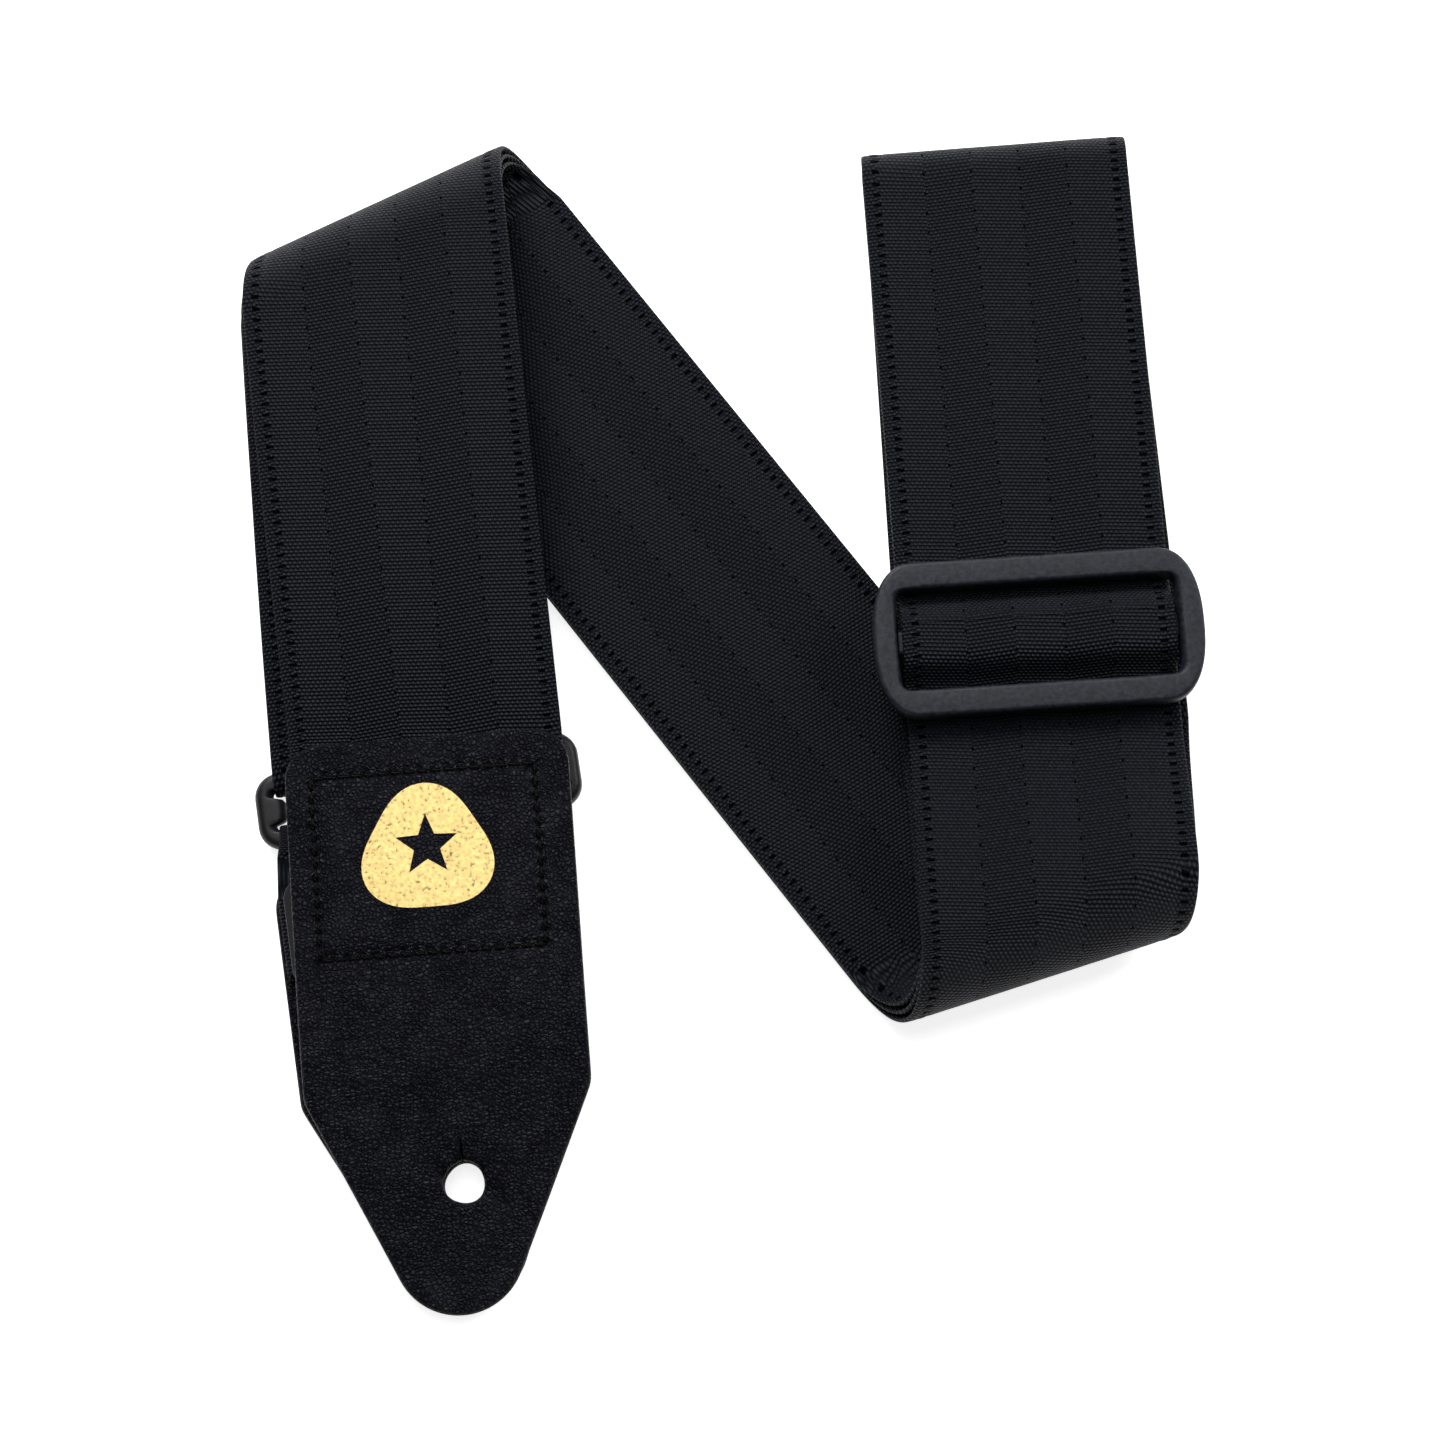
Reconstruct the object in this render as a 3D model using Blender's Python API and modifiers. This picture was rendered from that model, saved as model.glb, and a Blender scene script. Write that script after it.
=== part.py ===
"""Two-inch woven guitar strap, folded for storage, with leather ends, a slider and a rectangular ring.

The strap is one long webbing that passes three times along the folded shape. Its front strand runs
from the sewn leather end up the left run, over the top-left fold, down the diagonal, round the
bottom fold, up the right run over the slider's bar and over the top-right fold. It comes back
underneath as the back strand, goes round the ring's upper bar, and returns between the two as the
middle strand, which is sewn round the slider's bar. The second leather end hangs from the ring.
+X is across the folded strap, +Y along its runs, and it lies flat on Z = 0.
"""

import math

import bmesh
import bpy
from mathutils import Matrix, Vector

MM = 0.001
NAME = "guitar_strap"

# Webbing, mm.
WEB_WIDTH = 50.8
WEB_THICK = 1.2
LAYER_PITCH = 1.6
JOIN_GAP = 0.35
FLOOR_LAYER = WEB_THICK / 2

# Positions below are measured from a corner of the layout, and CENTRE_SHIFT centres the whole.
CENTRE_SHIFT = (0.5132, -2.9342)

# The lines where each run meets a fold: left edge, then right edge, mm.
TOP_LEFT_RUN_SIDE = ((-90.3, 77.0), (-41.5, 99.5))
TOP_LEFT_DIAGONAL_SIDE = ((-78.5, 83.0), (-33.5, 107.0))
BOTTOM_DIAGONAL_SIDE = ((25.0, -49.5), (75.7, -32.5))
BOTTOM_RUN_SIDE = ((36.3, -45.6), (86.8, -30.0))
TOP_RIGHT_FRONT_SIDE = ((26.8, 106.1), (77.7, 110.2))
TOP_RIGHT_BACK_SIDE = ((27.6, 106.1), (78.5, 110.2))
TOP_LEFT_OUTWARD = 114.5
BOTTOM_OUTWARD = -71.5
TOP_RIGHT_OUTWARD = 94.5
BIG_FOLD_RADIUS = 9.7
TIGHT_FOLD_RADIUS = 5.1
ARC_STEPS = 12

# Slider, mm. Its own X is across the webbing.
SLIDER_CENTRE = (58.7, 14.7)
SLIDER_TILT = 3.8
SLIDER_BASE = 13.6
SLIDER_THICK = 3.8
SLIDER_WIDTH = 61.6
SLIDER_HEIGHT = 29.4
SLIDER_END_WIDTH = 57.4
SLIDER_WINDOW = (53.8, 19.2)
BAR_BOTTOM = 12.6
BAR_THICK = 2.4
BAR_WIDTH = 4.6
UNDER_SLIDER = SLIDER_BASE - 0.3 - WEB_THICK / 2

# Ring, mm.
RING_CENTRE = (-56.9, -12.8)
RING_TILT = 8.7
RING_WIDTH = 61.0
RING_HEIGHT = 14.6
RING_BAR = 3.4
RING_LEVEL = 3.5
RING_CORNER = 3.2

# Leather ends, mm. v runs from the top edge to the tip, u to the right.
LEATHER_THICK = 2.0
LEATHER_HALF_WIDTH = 26.4
LEATHER_LENGTH = 106.3
LEATHER_SHOULDER = 66.0
LEATHER_CORNER = 6.5
LEATHER_TIP_RADIUS = 12.2
FRONT_TOP = (-55.3, -4.0)
FRONT_TILT = 4.4
FRONT_LEVEL = 10.0
FRONT_TIP_LEVEL = 2.6
FRONT_FLAT_TO = 42.0
FRONT_LOW_FROM = 100.0
HOLE_DIAMETER = 7.5
HOLE_V = 82.4
HOLE_U = 1.8
SLIT_LENGTH = 3.6
SLIT_WIDTH = 0.7
REAR_LENGTH = 84.0
REAR_TILT = 8.6
REAR_TIP_TRIM = 1.8
BACKING_THICK = 1.0
BOX_SIZE = (41.5, 34.0)
BOX_CENTRE = (-0.8, 23.5)
THREAD = 0.8
FOIL_THICK = 0.3
FOIL_CENTRE = (-0.8, 21.7)
FOIL_HALF = 11.6


def clear_scene():
    for obj in list(bpy.data.objects):
        bpy.data.objects.remove(obj, do_unlink=True)


def collection(name, hidden=False):
    made = bpy.data.collections.new(name)
    bpy.context.scene.collection.children.link(made)
    made.hide_render = hidden
    return made


def material(name, colour, roughness):
    made = bpy.data.materials.new(name)
    made.use_nodes = True
    shader = made.node_tree.nodes["Principled BSDF"]
    shader.inputs["Base Color"].default_value = (*colour, 1.0)
    shader.inputs["Roughness"].default_value = roughness
    made.diffuse_color = (*colour, 1.0)
    return made


def new_object(name, mesh, group, finish):
    obj = bpy.data.objects.new(name, mesh)
    group.objects.link(obj)
    if finish:
        mesh.materials.append(finish)
    return obj


def unit(degrees):
    return Vector((math.cos(math.radians(degrees)), math.sin(math.radians(degrees))))


def smooth(t):
    t = min(max(t, 0.0), 1.0)
    return t * t * (3 - 2 * t)


def sag(t):
    """Easing of a strand that leaves a fold level and falls faster towards its low end."""
    return t**2.2


def lift(t):
    """The same fall, followed upwards."""
    return 1 - sag(1 - t)


def edge_point(xy, level):
    return Vector((xy[0], xy[1], level))


def fold(start, end, start_level, end_level, outward):
    """Stations of webbing that turns half round and over, from one pair of edges to another."""
    away = unit(outward)
    radius = abs(end_level - start_level) / 2
    stations = []
    for i in range(ARC_STEPS + 1):
        t = i / ARC_STEPS
        bulge = away * radius * math.sin(math.pi * t)
        level = start_level + (end_level - start_level) * (1 - math.cos(math.pi * t)) / 2
        pair = []
        for a, b in zip(start, end):
            xy = Vector(a).lerp(Vector(b), t) + bulge
            pair.append(edge_point(xy, level))
        stations.append(pair)
    return stations


def run(start, end, levels, steps, ease=smooth):
    """Stations of a straight stretch. levels is (level at start, level at end), eased between."""
    stations = []
    for i in range(steps + 1):
        t = i / steps
        level = levels[0] + (levels[1] - levels[0]) * ease(t)
        stations.append([edge_point(Vector(a).lerp(Vector(b), t), level) for a, b in zip(start, end)])
    return stations


def trimmed(stations):
    """The same stations with half the joint gap taken off both ends."""
    for end, inner in ((0, 1), (-1, -2)):
        for side in (0, 1):
            step = stations[inner][side] - stations[end][side]
            stations[end][side] = stations[end][side] + step.normalized() * JOIN_GAP / 2
    return stations


def webbing(name, stations, group, finish):
    """One stretch of webbing: an open strip through the stations, given its thickness by Solidify."""
    mesh = bpy.data.meshes.new(name)
    bm = bmesh.new()
    rows = [[bm.verts.new(p * MM) for p in pair] for pair in trimmed(stations)]
    for (a, b), (c, d) in zip(rows, rows[1:]):
        bm.faces.new((a, b, d, c))
    bm.to_mesh(mesh)
    bm.free()
    obj = new_object(name, mesh, group, finish)
    wall = obj.modifiers.new("webbing thickness", "SOLIDIFY")
    wall.thickness = WEB_THICK * MM
    wall.offset = 0.0
    return obj


def slider_line(along):
    """The webbing's two edge points at a distance along the right run from the slider's centre."""
    across = unit(SLIDER_TILT)
    up = unit(SLIDER_TILT + 90)
    middle = Vector(SLIDER_CENTRE) + up * along
    return tuple(tuple(middle + across * side * WEB_WIDTH / 2) for side in (-1, 1))


def slider_stations(profile):
    """Stations across the slider from (distance along the run, level) pairs."""
    return [[edge_point(xy, level) for xy in slider_line(along)] for along, level in profile]


def eased_profile(start, end, steps):
    """(distance, level) pairs eased from one pair to another."""
    pairs = []
    for i in range(steps + 1):
        t = i / steps
        pairs.append((start[0] + (end[0] - start[0]) * t, start[1] + (end[1] - start[1]) * smooth(t)))
    return pairs


def hump_profile():
    """The front strand under the lower frame bar, over the middle bar and under the upper one."""
    top = BAR_BOTTOM + BAR_THICK + 0.3 + WEB_THICK / 2 + LAYER_PITCH
    window = SLIDER_WINDOW[1] / 2 - 0.8
    rising = eased_profile((-window, UNDER_SLIDER), (-BAR_WIDTH / 2 - 0.8, top), 8)
    falling = eased_profile((BAR_WIDTH / 2 + 0.9, top), (window, UNDER_SLIDER), 8)
    return rising + falling


def bar_loop_profile():
    """The middle strand's end: down over the bar, round it, and back underneath as a sewn flap."""
    over = BAR_BOTTOM + BAR_THICK + 0.3 + WEB_THICK / 2
    under = BAR_BOTTOM - 0.3 - WEB_THICK / 2
    radius = (over - under) / 2
    flap_level = UNDER_SLIDER - 2 * LAYER_PITCH - 0.5
    window = SLIDER_WINDOW[1] / 2 - 0.8
    turn = -BAR_WIDTH / 2 + 0.5
    under_front = UNDER_SLIDER - LAYER_PITCH
    pairs = [(window, under_front)]
    pairs += eased_profile((window - 1.4, under_front), (BAR_WIDTH / 2 - 0.3, over), 8)
    for i in range(9):
        angle = math.pi * i / 8
        pairs.append((turn - radius * math.sin(angle), over - radius + radius * math.cos(angle)))
    pairs += eased_profile((2.0, under), (window, flap_level), 6)
    pairs.append((40.0, flap_level))
    return pairs


def side_levels(layer):
    """(floor level, level at the top of a big fold) of a layer, 0 outermost."""
    low = FLOOR_LAYER + layer * LAYER_PITCH
    return low, low + 2 * (BIG_FOLD_RADIUS - layer * LAYER_PITCH)


def front_strand(group, finish):
    """The strand on top of both runs, from the leather end to the top-right fold."""
    low, high = side_levels(0)
    inner_web = FRONT_LEVEL - 0.3 - WEB_THICK / 2
    tail, mouth = (leather_line(FRONT_TOP, FRONT_TILT, v) for v in (38.0, 0.0))
    under_leather = run(tail, mouth, (inner_web, inner_web), 4)
    rise = run(mouth, TOP_LEFT_RUN_SIDE, (inner_web, high), 12, lift)
    webbing("webbing_front_left_run", under_leather[:-1] + rise, group, finish)
    webbing("webbing_front_top_left_fold",
            fold(TOP_LEFT_RUN_SIDE, TOP_LEFT_DIAGONAL_SIDE, high, low, TOP_LEFT_OUTWARD), group, finish)
    webbing("webbing_front_diagonal",
            run(TOP_LEFT_DIAGONAL_SIDE, BOTTOM_DIAGONAL_SIDE, (low, low), 4), group, finish)
    webbing("webbing_front_bottom_fold",
            fold(BOTTOM_DIAGONAL_SIDE, BOTTOM_RUN_SIDE, low, high, BOTTOM_OUTWARD), group, finish)
    window = SLIDER_WINDOW[1] / 2 - 0.8
    below, above = (slider_line(at) for at in (-SLIDER_HEIGHT / 2 - 1.0, SLIDER_HEIGHT / 2 + 1.0))
    descent = run(BOTTOM_RUN_SIDE, below, (high, UNDER_SLIDER), 10)
    under_low_bar = run(below, slider_line(-window), (UNDER_SLIDER, UNDER_SLIDER), 1)
    webbing("webbing_front_right_lower", descent + under_low_bar[1:], group, finish)
    webbing("webbing_over_slider_bar", slider_stations(hump_profile()), group, finish)
    top = FLOOR_LAYER + 2 * TIGHT_FOLD_RADIUS
    under_high_bar = run(slider_line(window), above, (UNDER_SLIDER, UNDER_SLIDER), 1)
    upper = run(above, TOP_RIGHT_FRONT_SIDE, (UNDER_SLIDER, top), 8)
    webbing("webbing_front_right_upper", under_high_bar + upper[1:], group, finish)
    webbing("webbing_top_right_fold",
            fold(TOP_RIGHT_FRONT_SIDE, TOP_RIGHT_BACK_SIDE, top, FLOOR_LAYER, TOP_RIGHT_OUTWARD),
            group, finish)


def hidden_strand(role, layer, group, finish):
    """The back (layer 2) or middle (layer 1) strand, from the slider's upper side to the ring."""
    low, high = side_levels(layer)
    near_floor = FLOOR_LAYER + (2 - layer) * LAYER_PITCH
    at_slider = 6.0 + (2 - layer) * LAYER_PITCH
    below = slider_line(-SLIDER_HEIGHT / 2 - 1.0)
    upper = run(TOP_RIGHT_BACK_SIDE, below, (near_floor, at_slider), 12)
    lower = run(below, BOTTOM_RUN_SIDE, (at_slider, high), 10)
    webbing(f"webbing_{role}_right_run", upper + lower[1:], group, finish)
    diagonal_level = low
    webbing(f"webbing_{role}_bottom_fold",
            fold(BOTTOM_RUN_SIDE, BOTTOM_DIAGONAL_SIDE, high, diagonal_level, BOTTOM_OUTWARD),
            group, finish)
    webbing(f"webbing_{role}_diagonal",
            run(BOTTOM_DIAGONAL_SIDE, TOP_LEFT_DIAGONAL_SIDE, (low, low), 4), group, finish)
    webbing(f"webbing_{role}_top_left_fold",
            fold(TOP_LEFT_DIAGONAL_SIDE, TOP_LEFT_RUN_SIDE, low, high, TOP_LEFT_OUTWARD), group, finish)
    ring_side = RING_LEVEL + (1 if layer == 1 else -1) * (RING_BAR / 2 + 0.3 + WEB_THICK / 2)
    descent = run(TOP_LEFT_RUN_SIDE, ring_line(1), (high, ring_side), 14, sag)
    webbing(f"webbing_{role}_left_run", descent, group, finish)


def ring_line(bar):
    """The webbing's two edges at the ring's upper (1) or lower (-1) bar."""
    across = unit(RING_TILT)
    up = unit(RING_TILT + 90)
    middle = Vector(RING_CENTRE) + up * bar * (RING_HEIGHT - RING_BAR) / 2 - across * 0.7
    return tuple(tuple(middle + across * side * WEB_WIDTH / 2) for side in (-1, 1))


def loops(group, finish):
    """The turns of webbing round the ring's upper bar, over the top-right fold and at the slider."""
    reach = RING_BAR / 2 + 0.3 + WEB_THICK / 2
    edges = ring_line(1)
    webbing("webbing_ring_loop",
            fold(edges, edges, RING_LEVEL - reach, RING_LEVEL + reach, RING_TILT - 90), group, finish)
    inner_low = FLOOR_LAYER + LAYER_PITCH
    inner_high = FLOOR_LAYER + 2 * TIGHT_FOLD_RADIUS - LAYER_PITCH
    webbing("webbing_inner_top_right_fold",
            fold(TOP_RIGHT_BACK_SIDE, TOP_RIGHT_FRONT_SIDE, inner_low, inner_high, TOP_RIGHT_OUTWARD),
            group, finish)
    above = slider_line(SLIDER_HEIGHT / 2 + 1.0)
    under_front = UNDER_SLIDER - LAYER_PITCH
    inner = run(TOP_RIGHT_FRONT_SIDE, above, (inner_high, under_front), 8)
    under_bar = run(above, slider_line(SLIDER_WINDOW[1] / 2 - 0.8), (under_front, under_front), 1)
    webbing("webbing_inner_right_upper", inner + under_bar[1:], group, finish)
    webbing("webbing_slider_end_loop", slider_stations(bar_loop_profile()), group, finish)


def rear_tab(group, finish):
    """The short webbing loop that holds the rear leather end on the ring's lower bar."""
    reach = RING_BAR / 2 + 0.3 + WEB_THICK / 2
    edges = ring_line(-1)
    inside, mouth = (leather_line(rear_top(), REAR_TILT, v) for v in (20.0, 0.0))
    lower, upper = LEATHER_THICK + 0.3 + WEB_THICK / 2, LEATHER_THICK + 0.3 + WEB_THICK / 2 + LAYER_PITCH
    turn = fold(edges, edges, RING_LEVEL - reach, RING_LEVEL + reach, RING_TILT + 90)
    into = run(inside, mouth, (lower, lower), 2)[:-1] + run(mouth, edges, (lower, RING_LEVEL - reach), 5)
    back = run(edges, mouth, (RING_LEVEL + reach, upper), 5)[:-1] + run(mouth, inside, (upper, upper), 2)
    webbing("rear_end_tab", into[:-1] + turn + back[1:], group, finish)


def leather_line(top, tilt, v):
    """The two webbing edge points under a leather end at a distance v from its top edge."""
    middle = leather_point(top, tilt, 0.0, v)
    across = unit(tilt)
    return tuple(tuple(middle + across * side * WEB_WIDTH / 2) for side in (-1, 1))


def leather_point(top, tilt, u, v):
    return Vector(top) + unit(tilt) * u + unit(tilt - 90) * v


def rear_top():
    """The middle of the rear end's top edge, set so that both button holes are in line."""
    hole = leather_point(FRONT_TOP, FRONT_TILT, HOLE_U, HOLE_V)
    rear_v = REAR_LENGTH - (LEATHER_LENGTH - HOLE_V) + REAR_TIP_TRIM
    return leather_point(hole, REAR_TILT, -HOLE_U, -rear_v)


def half_width(v, length):
    """Half the width of a leather end at v: rounded top corners, taper and rounded tip."""
    shoulder = LEATHER_SHOULDER - (LEATHER_LENGTH - length)
    tip = length - LEATHER_TIP_RADIUS
    taper = math.atan2(LEATHER_HALF_WIDTH - LEATHER_TIP_RADIUS * 0.91, tip + 5.0 - shoulder)
    if v < LEATHER_CORNER:
        inset = LEATHER_CORNER - v
        return LEATHER_HALF_WIDTH - LEATHER_CORNER + math.sqrt(LEATHER_CORNER**2 - inset**2)
    if v <= shoulder:
        return LEATHER_HALF_WIDTH
    on_taper = LEATHER_HALF_WIDTH - (v - shoulder) * math.tan(taper)
    tangent = tip + LEATHER_TIP_RADIUS * math.sin(taper)
    if v < tangent:
        return on_taper
    return math.sqrt(max(LEATHER_TIP_RADIUS**2 - (v - tip) ** 2, 0.0))


def leather_plate(name, top, tilt, length, level_at, group, finish):
    """A leather end: an open strip of its outline, bent by level_at(v), with Solidify's thickness."""
    mesh = bpy.data.meshes.new(name)
    bm = bmesh.new()
    corner = [LEATHER_CORNER * (1 - math.cos(math.pi / 2 * i / 5)) for i in range(1, 6)]
    tip_start = length - LEATHER_TIP_RADIUS + 5.0
    along = [0.15] + corner + [LEATHER_CORNER + (tip_start - LEATHER_CORNER) * i / 14 for i in range(1, 15)]
    end_arc = length - tip_start
    along += [tip_start + end_arc * math.sin(math.pi / 2 * i / 6) for i in range(1, 6)] + [length - 0.08]
    rows = []
    for v in along:
        row = []
        for side in (-1, -0.4, 0.4, 1):
            xy = leather_point(top, tilt, side * half_width(v, length), v)
            row.append(bm.verts.new(edge_point(xy, level_at(v)) * MM))
        rows.append(row)
    for first, second in zip(rows, rows[1:]):
        for i in range(3):
            bm.faces.new((first[i], second[i], second[i + 1], first[i + 1]))
    bm.to_mesh(mesh)
    bm.free()
    obj = new_object(name, mesh, group, finish)
    wall = obj.modifiers.new("leather thickness", "SOLIDIFY")
    wall.thickness = LEATHER_THICK * MM
    wall.offset = 1.0
    return obj


def button_cutter(name, top, tilt, v, group):
    """A round button hole with its short slit towards the top edge, as one cutter."""
    bpy.ops.mesh.primitive_cylinder_add(vertices=24, radius=HOLE_DIAMETER / 2 * MM, depth=30 * MM,
                                        location=(0, 0, 0))
    hole = bpy.context.object
    bpy.ops.mesh.primitive_cube_add(size=1.0, location=(0, (HOLE_DIAMETER + SLIT_LENGTH) / 2 * MM, 0))
    slit = bpy.context.object
    slit.data.transform(Matrix.Diagonal((SLIT_WIDTH * MM, (SLIT_LENGTH + 0.8) * MM, 30 * MM, 1.0)))
    join = hole.modifiers.new("slit", "BOOLEAN")
    join.operation = "UNION"
    join.object = slit
    bpy.context.view_layer.update()
    made = bpy.data.meshes.new_from_object(hole.evaluated_get(bpy.context.evaluated_depsgraph_get()))
    bpy.data.objects.remove(hole, do_unlink=True)
    bpy.data.objects.remove(slit, do_unlink=True)
    cutter = new_object(name, made, group, None)
    xy = leather_point(top, tilt, HOLE_U, v)
    cutter.location = (xy.x * MM, xy.y * MM, 4 * MM)
    cutter.rotation_euler.z = math.radians(tilt)
    cutter.hide_render = True
    cutter.display_type = "WIRE"
    return cutter


def cut(obj, cutter):
    """Cuts obj once its thickness is on it."""
    hole = obj.modifiers.new("button hole", "BOOLEAN")
    hole.operation = "DIFFERENCE"
    hole.object = cutter


def rounded_outline(width, height, corner, bulge=0.0):
    """Points of a rounded rectangle whose short sides bow out by bulge, anticlockwise."""
    points = []
    for side, start in ((1, -90), (1, 0), (-1, 90), (-1, 180)):
        lift = -1 if start in (-90, 180) else 1
        centre = Vector((side * (width / 2 - corner), lift * (height / 2 - corner)))
        points += [centre + unit(start + 90 * i / 6) * corner for i in range(7)]
        if bulge and start in (-90, 90):
            for i in range(1, 6):
                t = i / 6
                y = (2 * t - 1) * (height / 2 - corner) * side
                points.append(Vector((side * (width / 2 + bulge * math.sin(math.pi * t)), y)))
    return points


def flat_curve(name, outlines, thickness, place, finish, group):
    """A flat curve of closed outlines, made a mesh and given its thickness upwards from place."""
    data = bpy.data.curves.new(name, "CURVE")
    data.dimensions = "2D"
    data.fill_mode = "BOTH"
    data.extrude = thickness / 2 * MM
    for outline in outlines:
        spline = data.splines.new("POLY")
        spline.points.add(len(outline) - 1)
        for point, xy in zip(spline.points, outline):
            point.co = (xy[0] * MM, xy[1] * MM, 0.0, 1.0)
        spline.use_cyclic_u = True
    source = bpy.data.objects.new(name + "_outline", data)
    group.objects.link(source)
    bpy.context.view_layer.update()
    mesh = bpy.data.meshes.new_from_object(source.evaluated_get(bpy.context.evaluated_depsgraph_get()))
    bpy.data.objects.remove(source, do_unlink=True)
    bm = bmesh.new()
    bm.from_mesh(mesh)
    bmesh.ops.remove_doubles(bm, verts=bm.verts, dist=1e-6)
    bm.to_mesh(mesh)
    bm.free()
    mesh.materials.clear()
    obj = new_object(name, mesh, group, finish)
    (x, y, base), tilt = place
    obj.location = (x * MM, y * MM, (base + thickness / 2) * MM)
    obj.rotation_euler.z = math.radians(tilt)
    return obj


def slider(group, finish):
    """The moulded frame with bowed ends, and the middle bar let into its side walls below the face."""
    outer = rounded_outline(SLIDER_END_WIDTH, SLIDER_HEIGHT, 6.5,
                            (SLIDER_WIDTH - SLIDER_END_WIDTH) / 2)
    inner = rounded_outline(*SLIDER_WINDOW, 1.6)
    place = ((*SLIDER_CENTRE, SLIDER_BASE), SLIDER_TILT)
    frame = flat_curve("slider_frame", [outer, inner], SLIDER_THICK, place, finish, group)
    bpy.ops.mesh.primitive_cube_add(size=1.0)
    bar = bpy.context.object
    for owner in bar.users_collection:
        owner.objects.unlink(bar)
    group.objects.link(bar)
    bar.name = "slider_bar"
    bar.data.transform(Matrix.Diagonal(((SLIDER_WINDOW[0] + 5.0) * MM, BAR_WIDTH * MM, BAR_THICK * MM, 1)))
    bar.location = (SLIDER_CENTRE[0] * MM, SLIDER_CENTRE[1] * MM, (BAR_BOTTOM + BAR_THICK / 2) * MM)
    bar.rotation_euler.z = math.radians(SLIDER_TILT)
    join = frame.modifiers.new("middle bar", "BOOLEAN")
    join.operation = "UNION"
    join.object = bar
    bar.hide_render = True
    bar.display_type = "WIRE"
    return frame


def ring(group, finish):
    """A round-section rectangular ring: a closed curve with a bevel."""
    outline = rounded_outline(RING_WIDTH - RING_BAR, RING_HEIGHT - RING_BAR, RING_CORNER)
    data = bpy.data.curves.new("ring", "CURVE")
    data.dimensions = "3D"
    data.bevel_depth = RING_BAR / 2 * MM
    data.bevel_resolution = 3
    spline = data.splines.new("POLY")
    spline.points.add(len(outline) - 1)
    for point, xy in zip(spline.points, outline):
        point.co = (xy[0] * MM, xy[1] * MM, 0.0, 1.0)
    spline.use_cyclic_u = True
    obj = bpy.data.objects.new("ring", data)
    group.objects.link(obj)
    data.materials.append(finish)
    obj.location = (RING_CENTRE[0] * MM, RING_CENTRE[1] * MM, RING_LEVEL * MM)
    obj.rotation_euler.z = math.radians(RING_TILT)
    return obj


def thread_box(name, size, middle, base, tilt, group, finish):
    """A box of lock stitching, as a thin raised frame."""
    outlines = [rounded_outline(size[0] + THREAD * k, size[1] + THREAD * k, 0.6 + THREAD / 2 * k)
                for k in (1, 0)]
    return flat_curve(name, outlines, 0.4, ((middle.x, middle.y, base), tilt), finish, group)


def star_plectrum():
    """A plain plectrum outline and the star cut from its middle."""
    plectrum = []
    for i in range(36):
        angle = 2 * math.pi * i / 36
        radius = FOIL_HALF * (1 - 0.10 * math.cos(3 * (angle + math.pi / 2)))
        plectrum.append((radius * math.cos(angle) * 1.02, radius * math.sin(angle)))
    star = []
    for i in range(10):
        angle = math.pi / 2 + math.pi * i / 5
        radius = FOIL_HALF * (0.52 if i % 2 == 0 else 0.22)
        star.append((radius * math.cos(angle), radius * math.sin(angle) + 1.0))
    return [plectrum, star]


def front_level(v):
    fall = smooth((v - FRONT_FLAT_TO) / (FRONT_LOW_FROM - FRONT_FLAT_TO))
    return FRONT_LEVEL + (FRONT_TIP_LEVEL - FRONT_LEVEL) * fall


def front_end(group, cutters, finishes):
    outer = leather_plate("front_leather_end", FRONT_TOP, FRONT_TILT, LEATHER_LENGTH, front_level,
                          group, finishes["leather"])
    cut(outer, button_cutter("front_button_cutter", FRONT_TOP, FRONT_TILT, HOLE_V, cutters))
    middle = leather_point(FRONT_TOP, FRONT_TILT, *BOX_CENTRE)
    base = FRONT_LEVEL - 0.6 - WEB_THICK - BACKING_THICK
    patch = rounded_outline(BOX_SIZE[0] + 7.0, BOX_SIZE[1] + 7.0, 4.0)
    flat_curve("front_backing_patch", [patch], BACKING_THICK, ((middle.x, middle.y, base), FRONT_TILT),
               finishes["suede"], group)
    top = FRONT_LEVEL + LEATHER_THICK + 0.3
    thread_box("front_box_stitching", BOX_SIZE, middle, top, FRONT_TILT, group, finishes["thread"])
    foil = leather_point(FRONT_TOP, FRONT_TILT, *FOIL_CENTRE)
    flat_curve("foil_emblem", star_plectrum(), FOIL_THICK, ((foil.x, foil.y, top), FRONT_TILT),
               finishes["foil"], group)


def rear_end(group, cutters, finishes):
    top = rear_top()
    outer = leather_plate("rear_leather_end", top, REAR_TILT, REAR_LENGTH, lambda v: 0.0,
                          group, finishes["leather"])
    rear_v = REAR_LENGTH - (LEATHER_LENGTH - HOLE_V) + REAR_TIP_TRIM
    cut(outer, button_cutter("rear_button_cutter", top, REAR_TILT, rear_v, cutters))
    middle = leather_point(top, REAR_TILT, 0.0, 12.0)
    base = LEATHER_THICK + 0.6 + WEB_THICK + LAYER_PITCH
    patch = rounded_outline(48.5, 21.0, 4.0)
    place = ((middle.x, middle.y, base), REAR_TILT)
    flat_curve("rear_backing_patch", [patch], BACKING_THICK, place, finishes["suede"], group)
    thread_box("rear_box_stitching", (41.5, 14.0), middle, base + BACKING_THICK + 0.3, REAR_TILT,
               group, finishes["thread"])
    rear_tab(group, finishes["webbing"])


def slider_stitching(group, finish):
    """The bar tack that sews the middle strand's end to itself above the slider."""
    middle = Vector(SLIDER_CENTRE) + unit(SLIDER_TILT + 90) * 29.0
    base = UNDER_SLIDER - 2 * LAYER_PITCH - 0.5 - WEB_THICK / 2 - 0.3 - 0.4
    thread_box("slider_end_stitching", (44.0, 14.0), middle, base, SLIDER_TILT, group, finish)


def centre_on_origin():
    """Moves everything so that the middle of the folded strap's footprint stands at the origin."""
    for obj in bpy.data.objects:
        obj.location += Vector((*CENTRE_SHIFT, 0.0)) * MM


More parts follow.
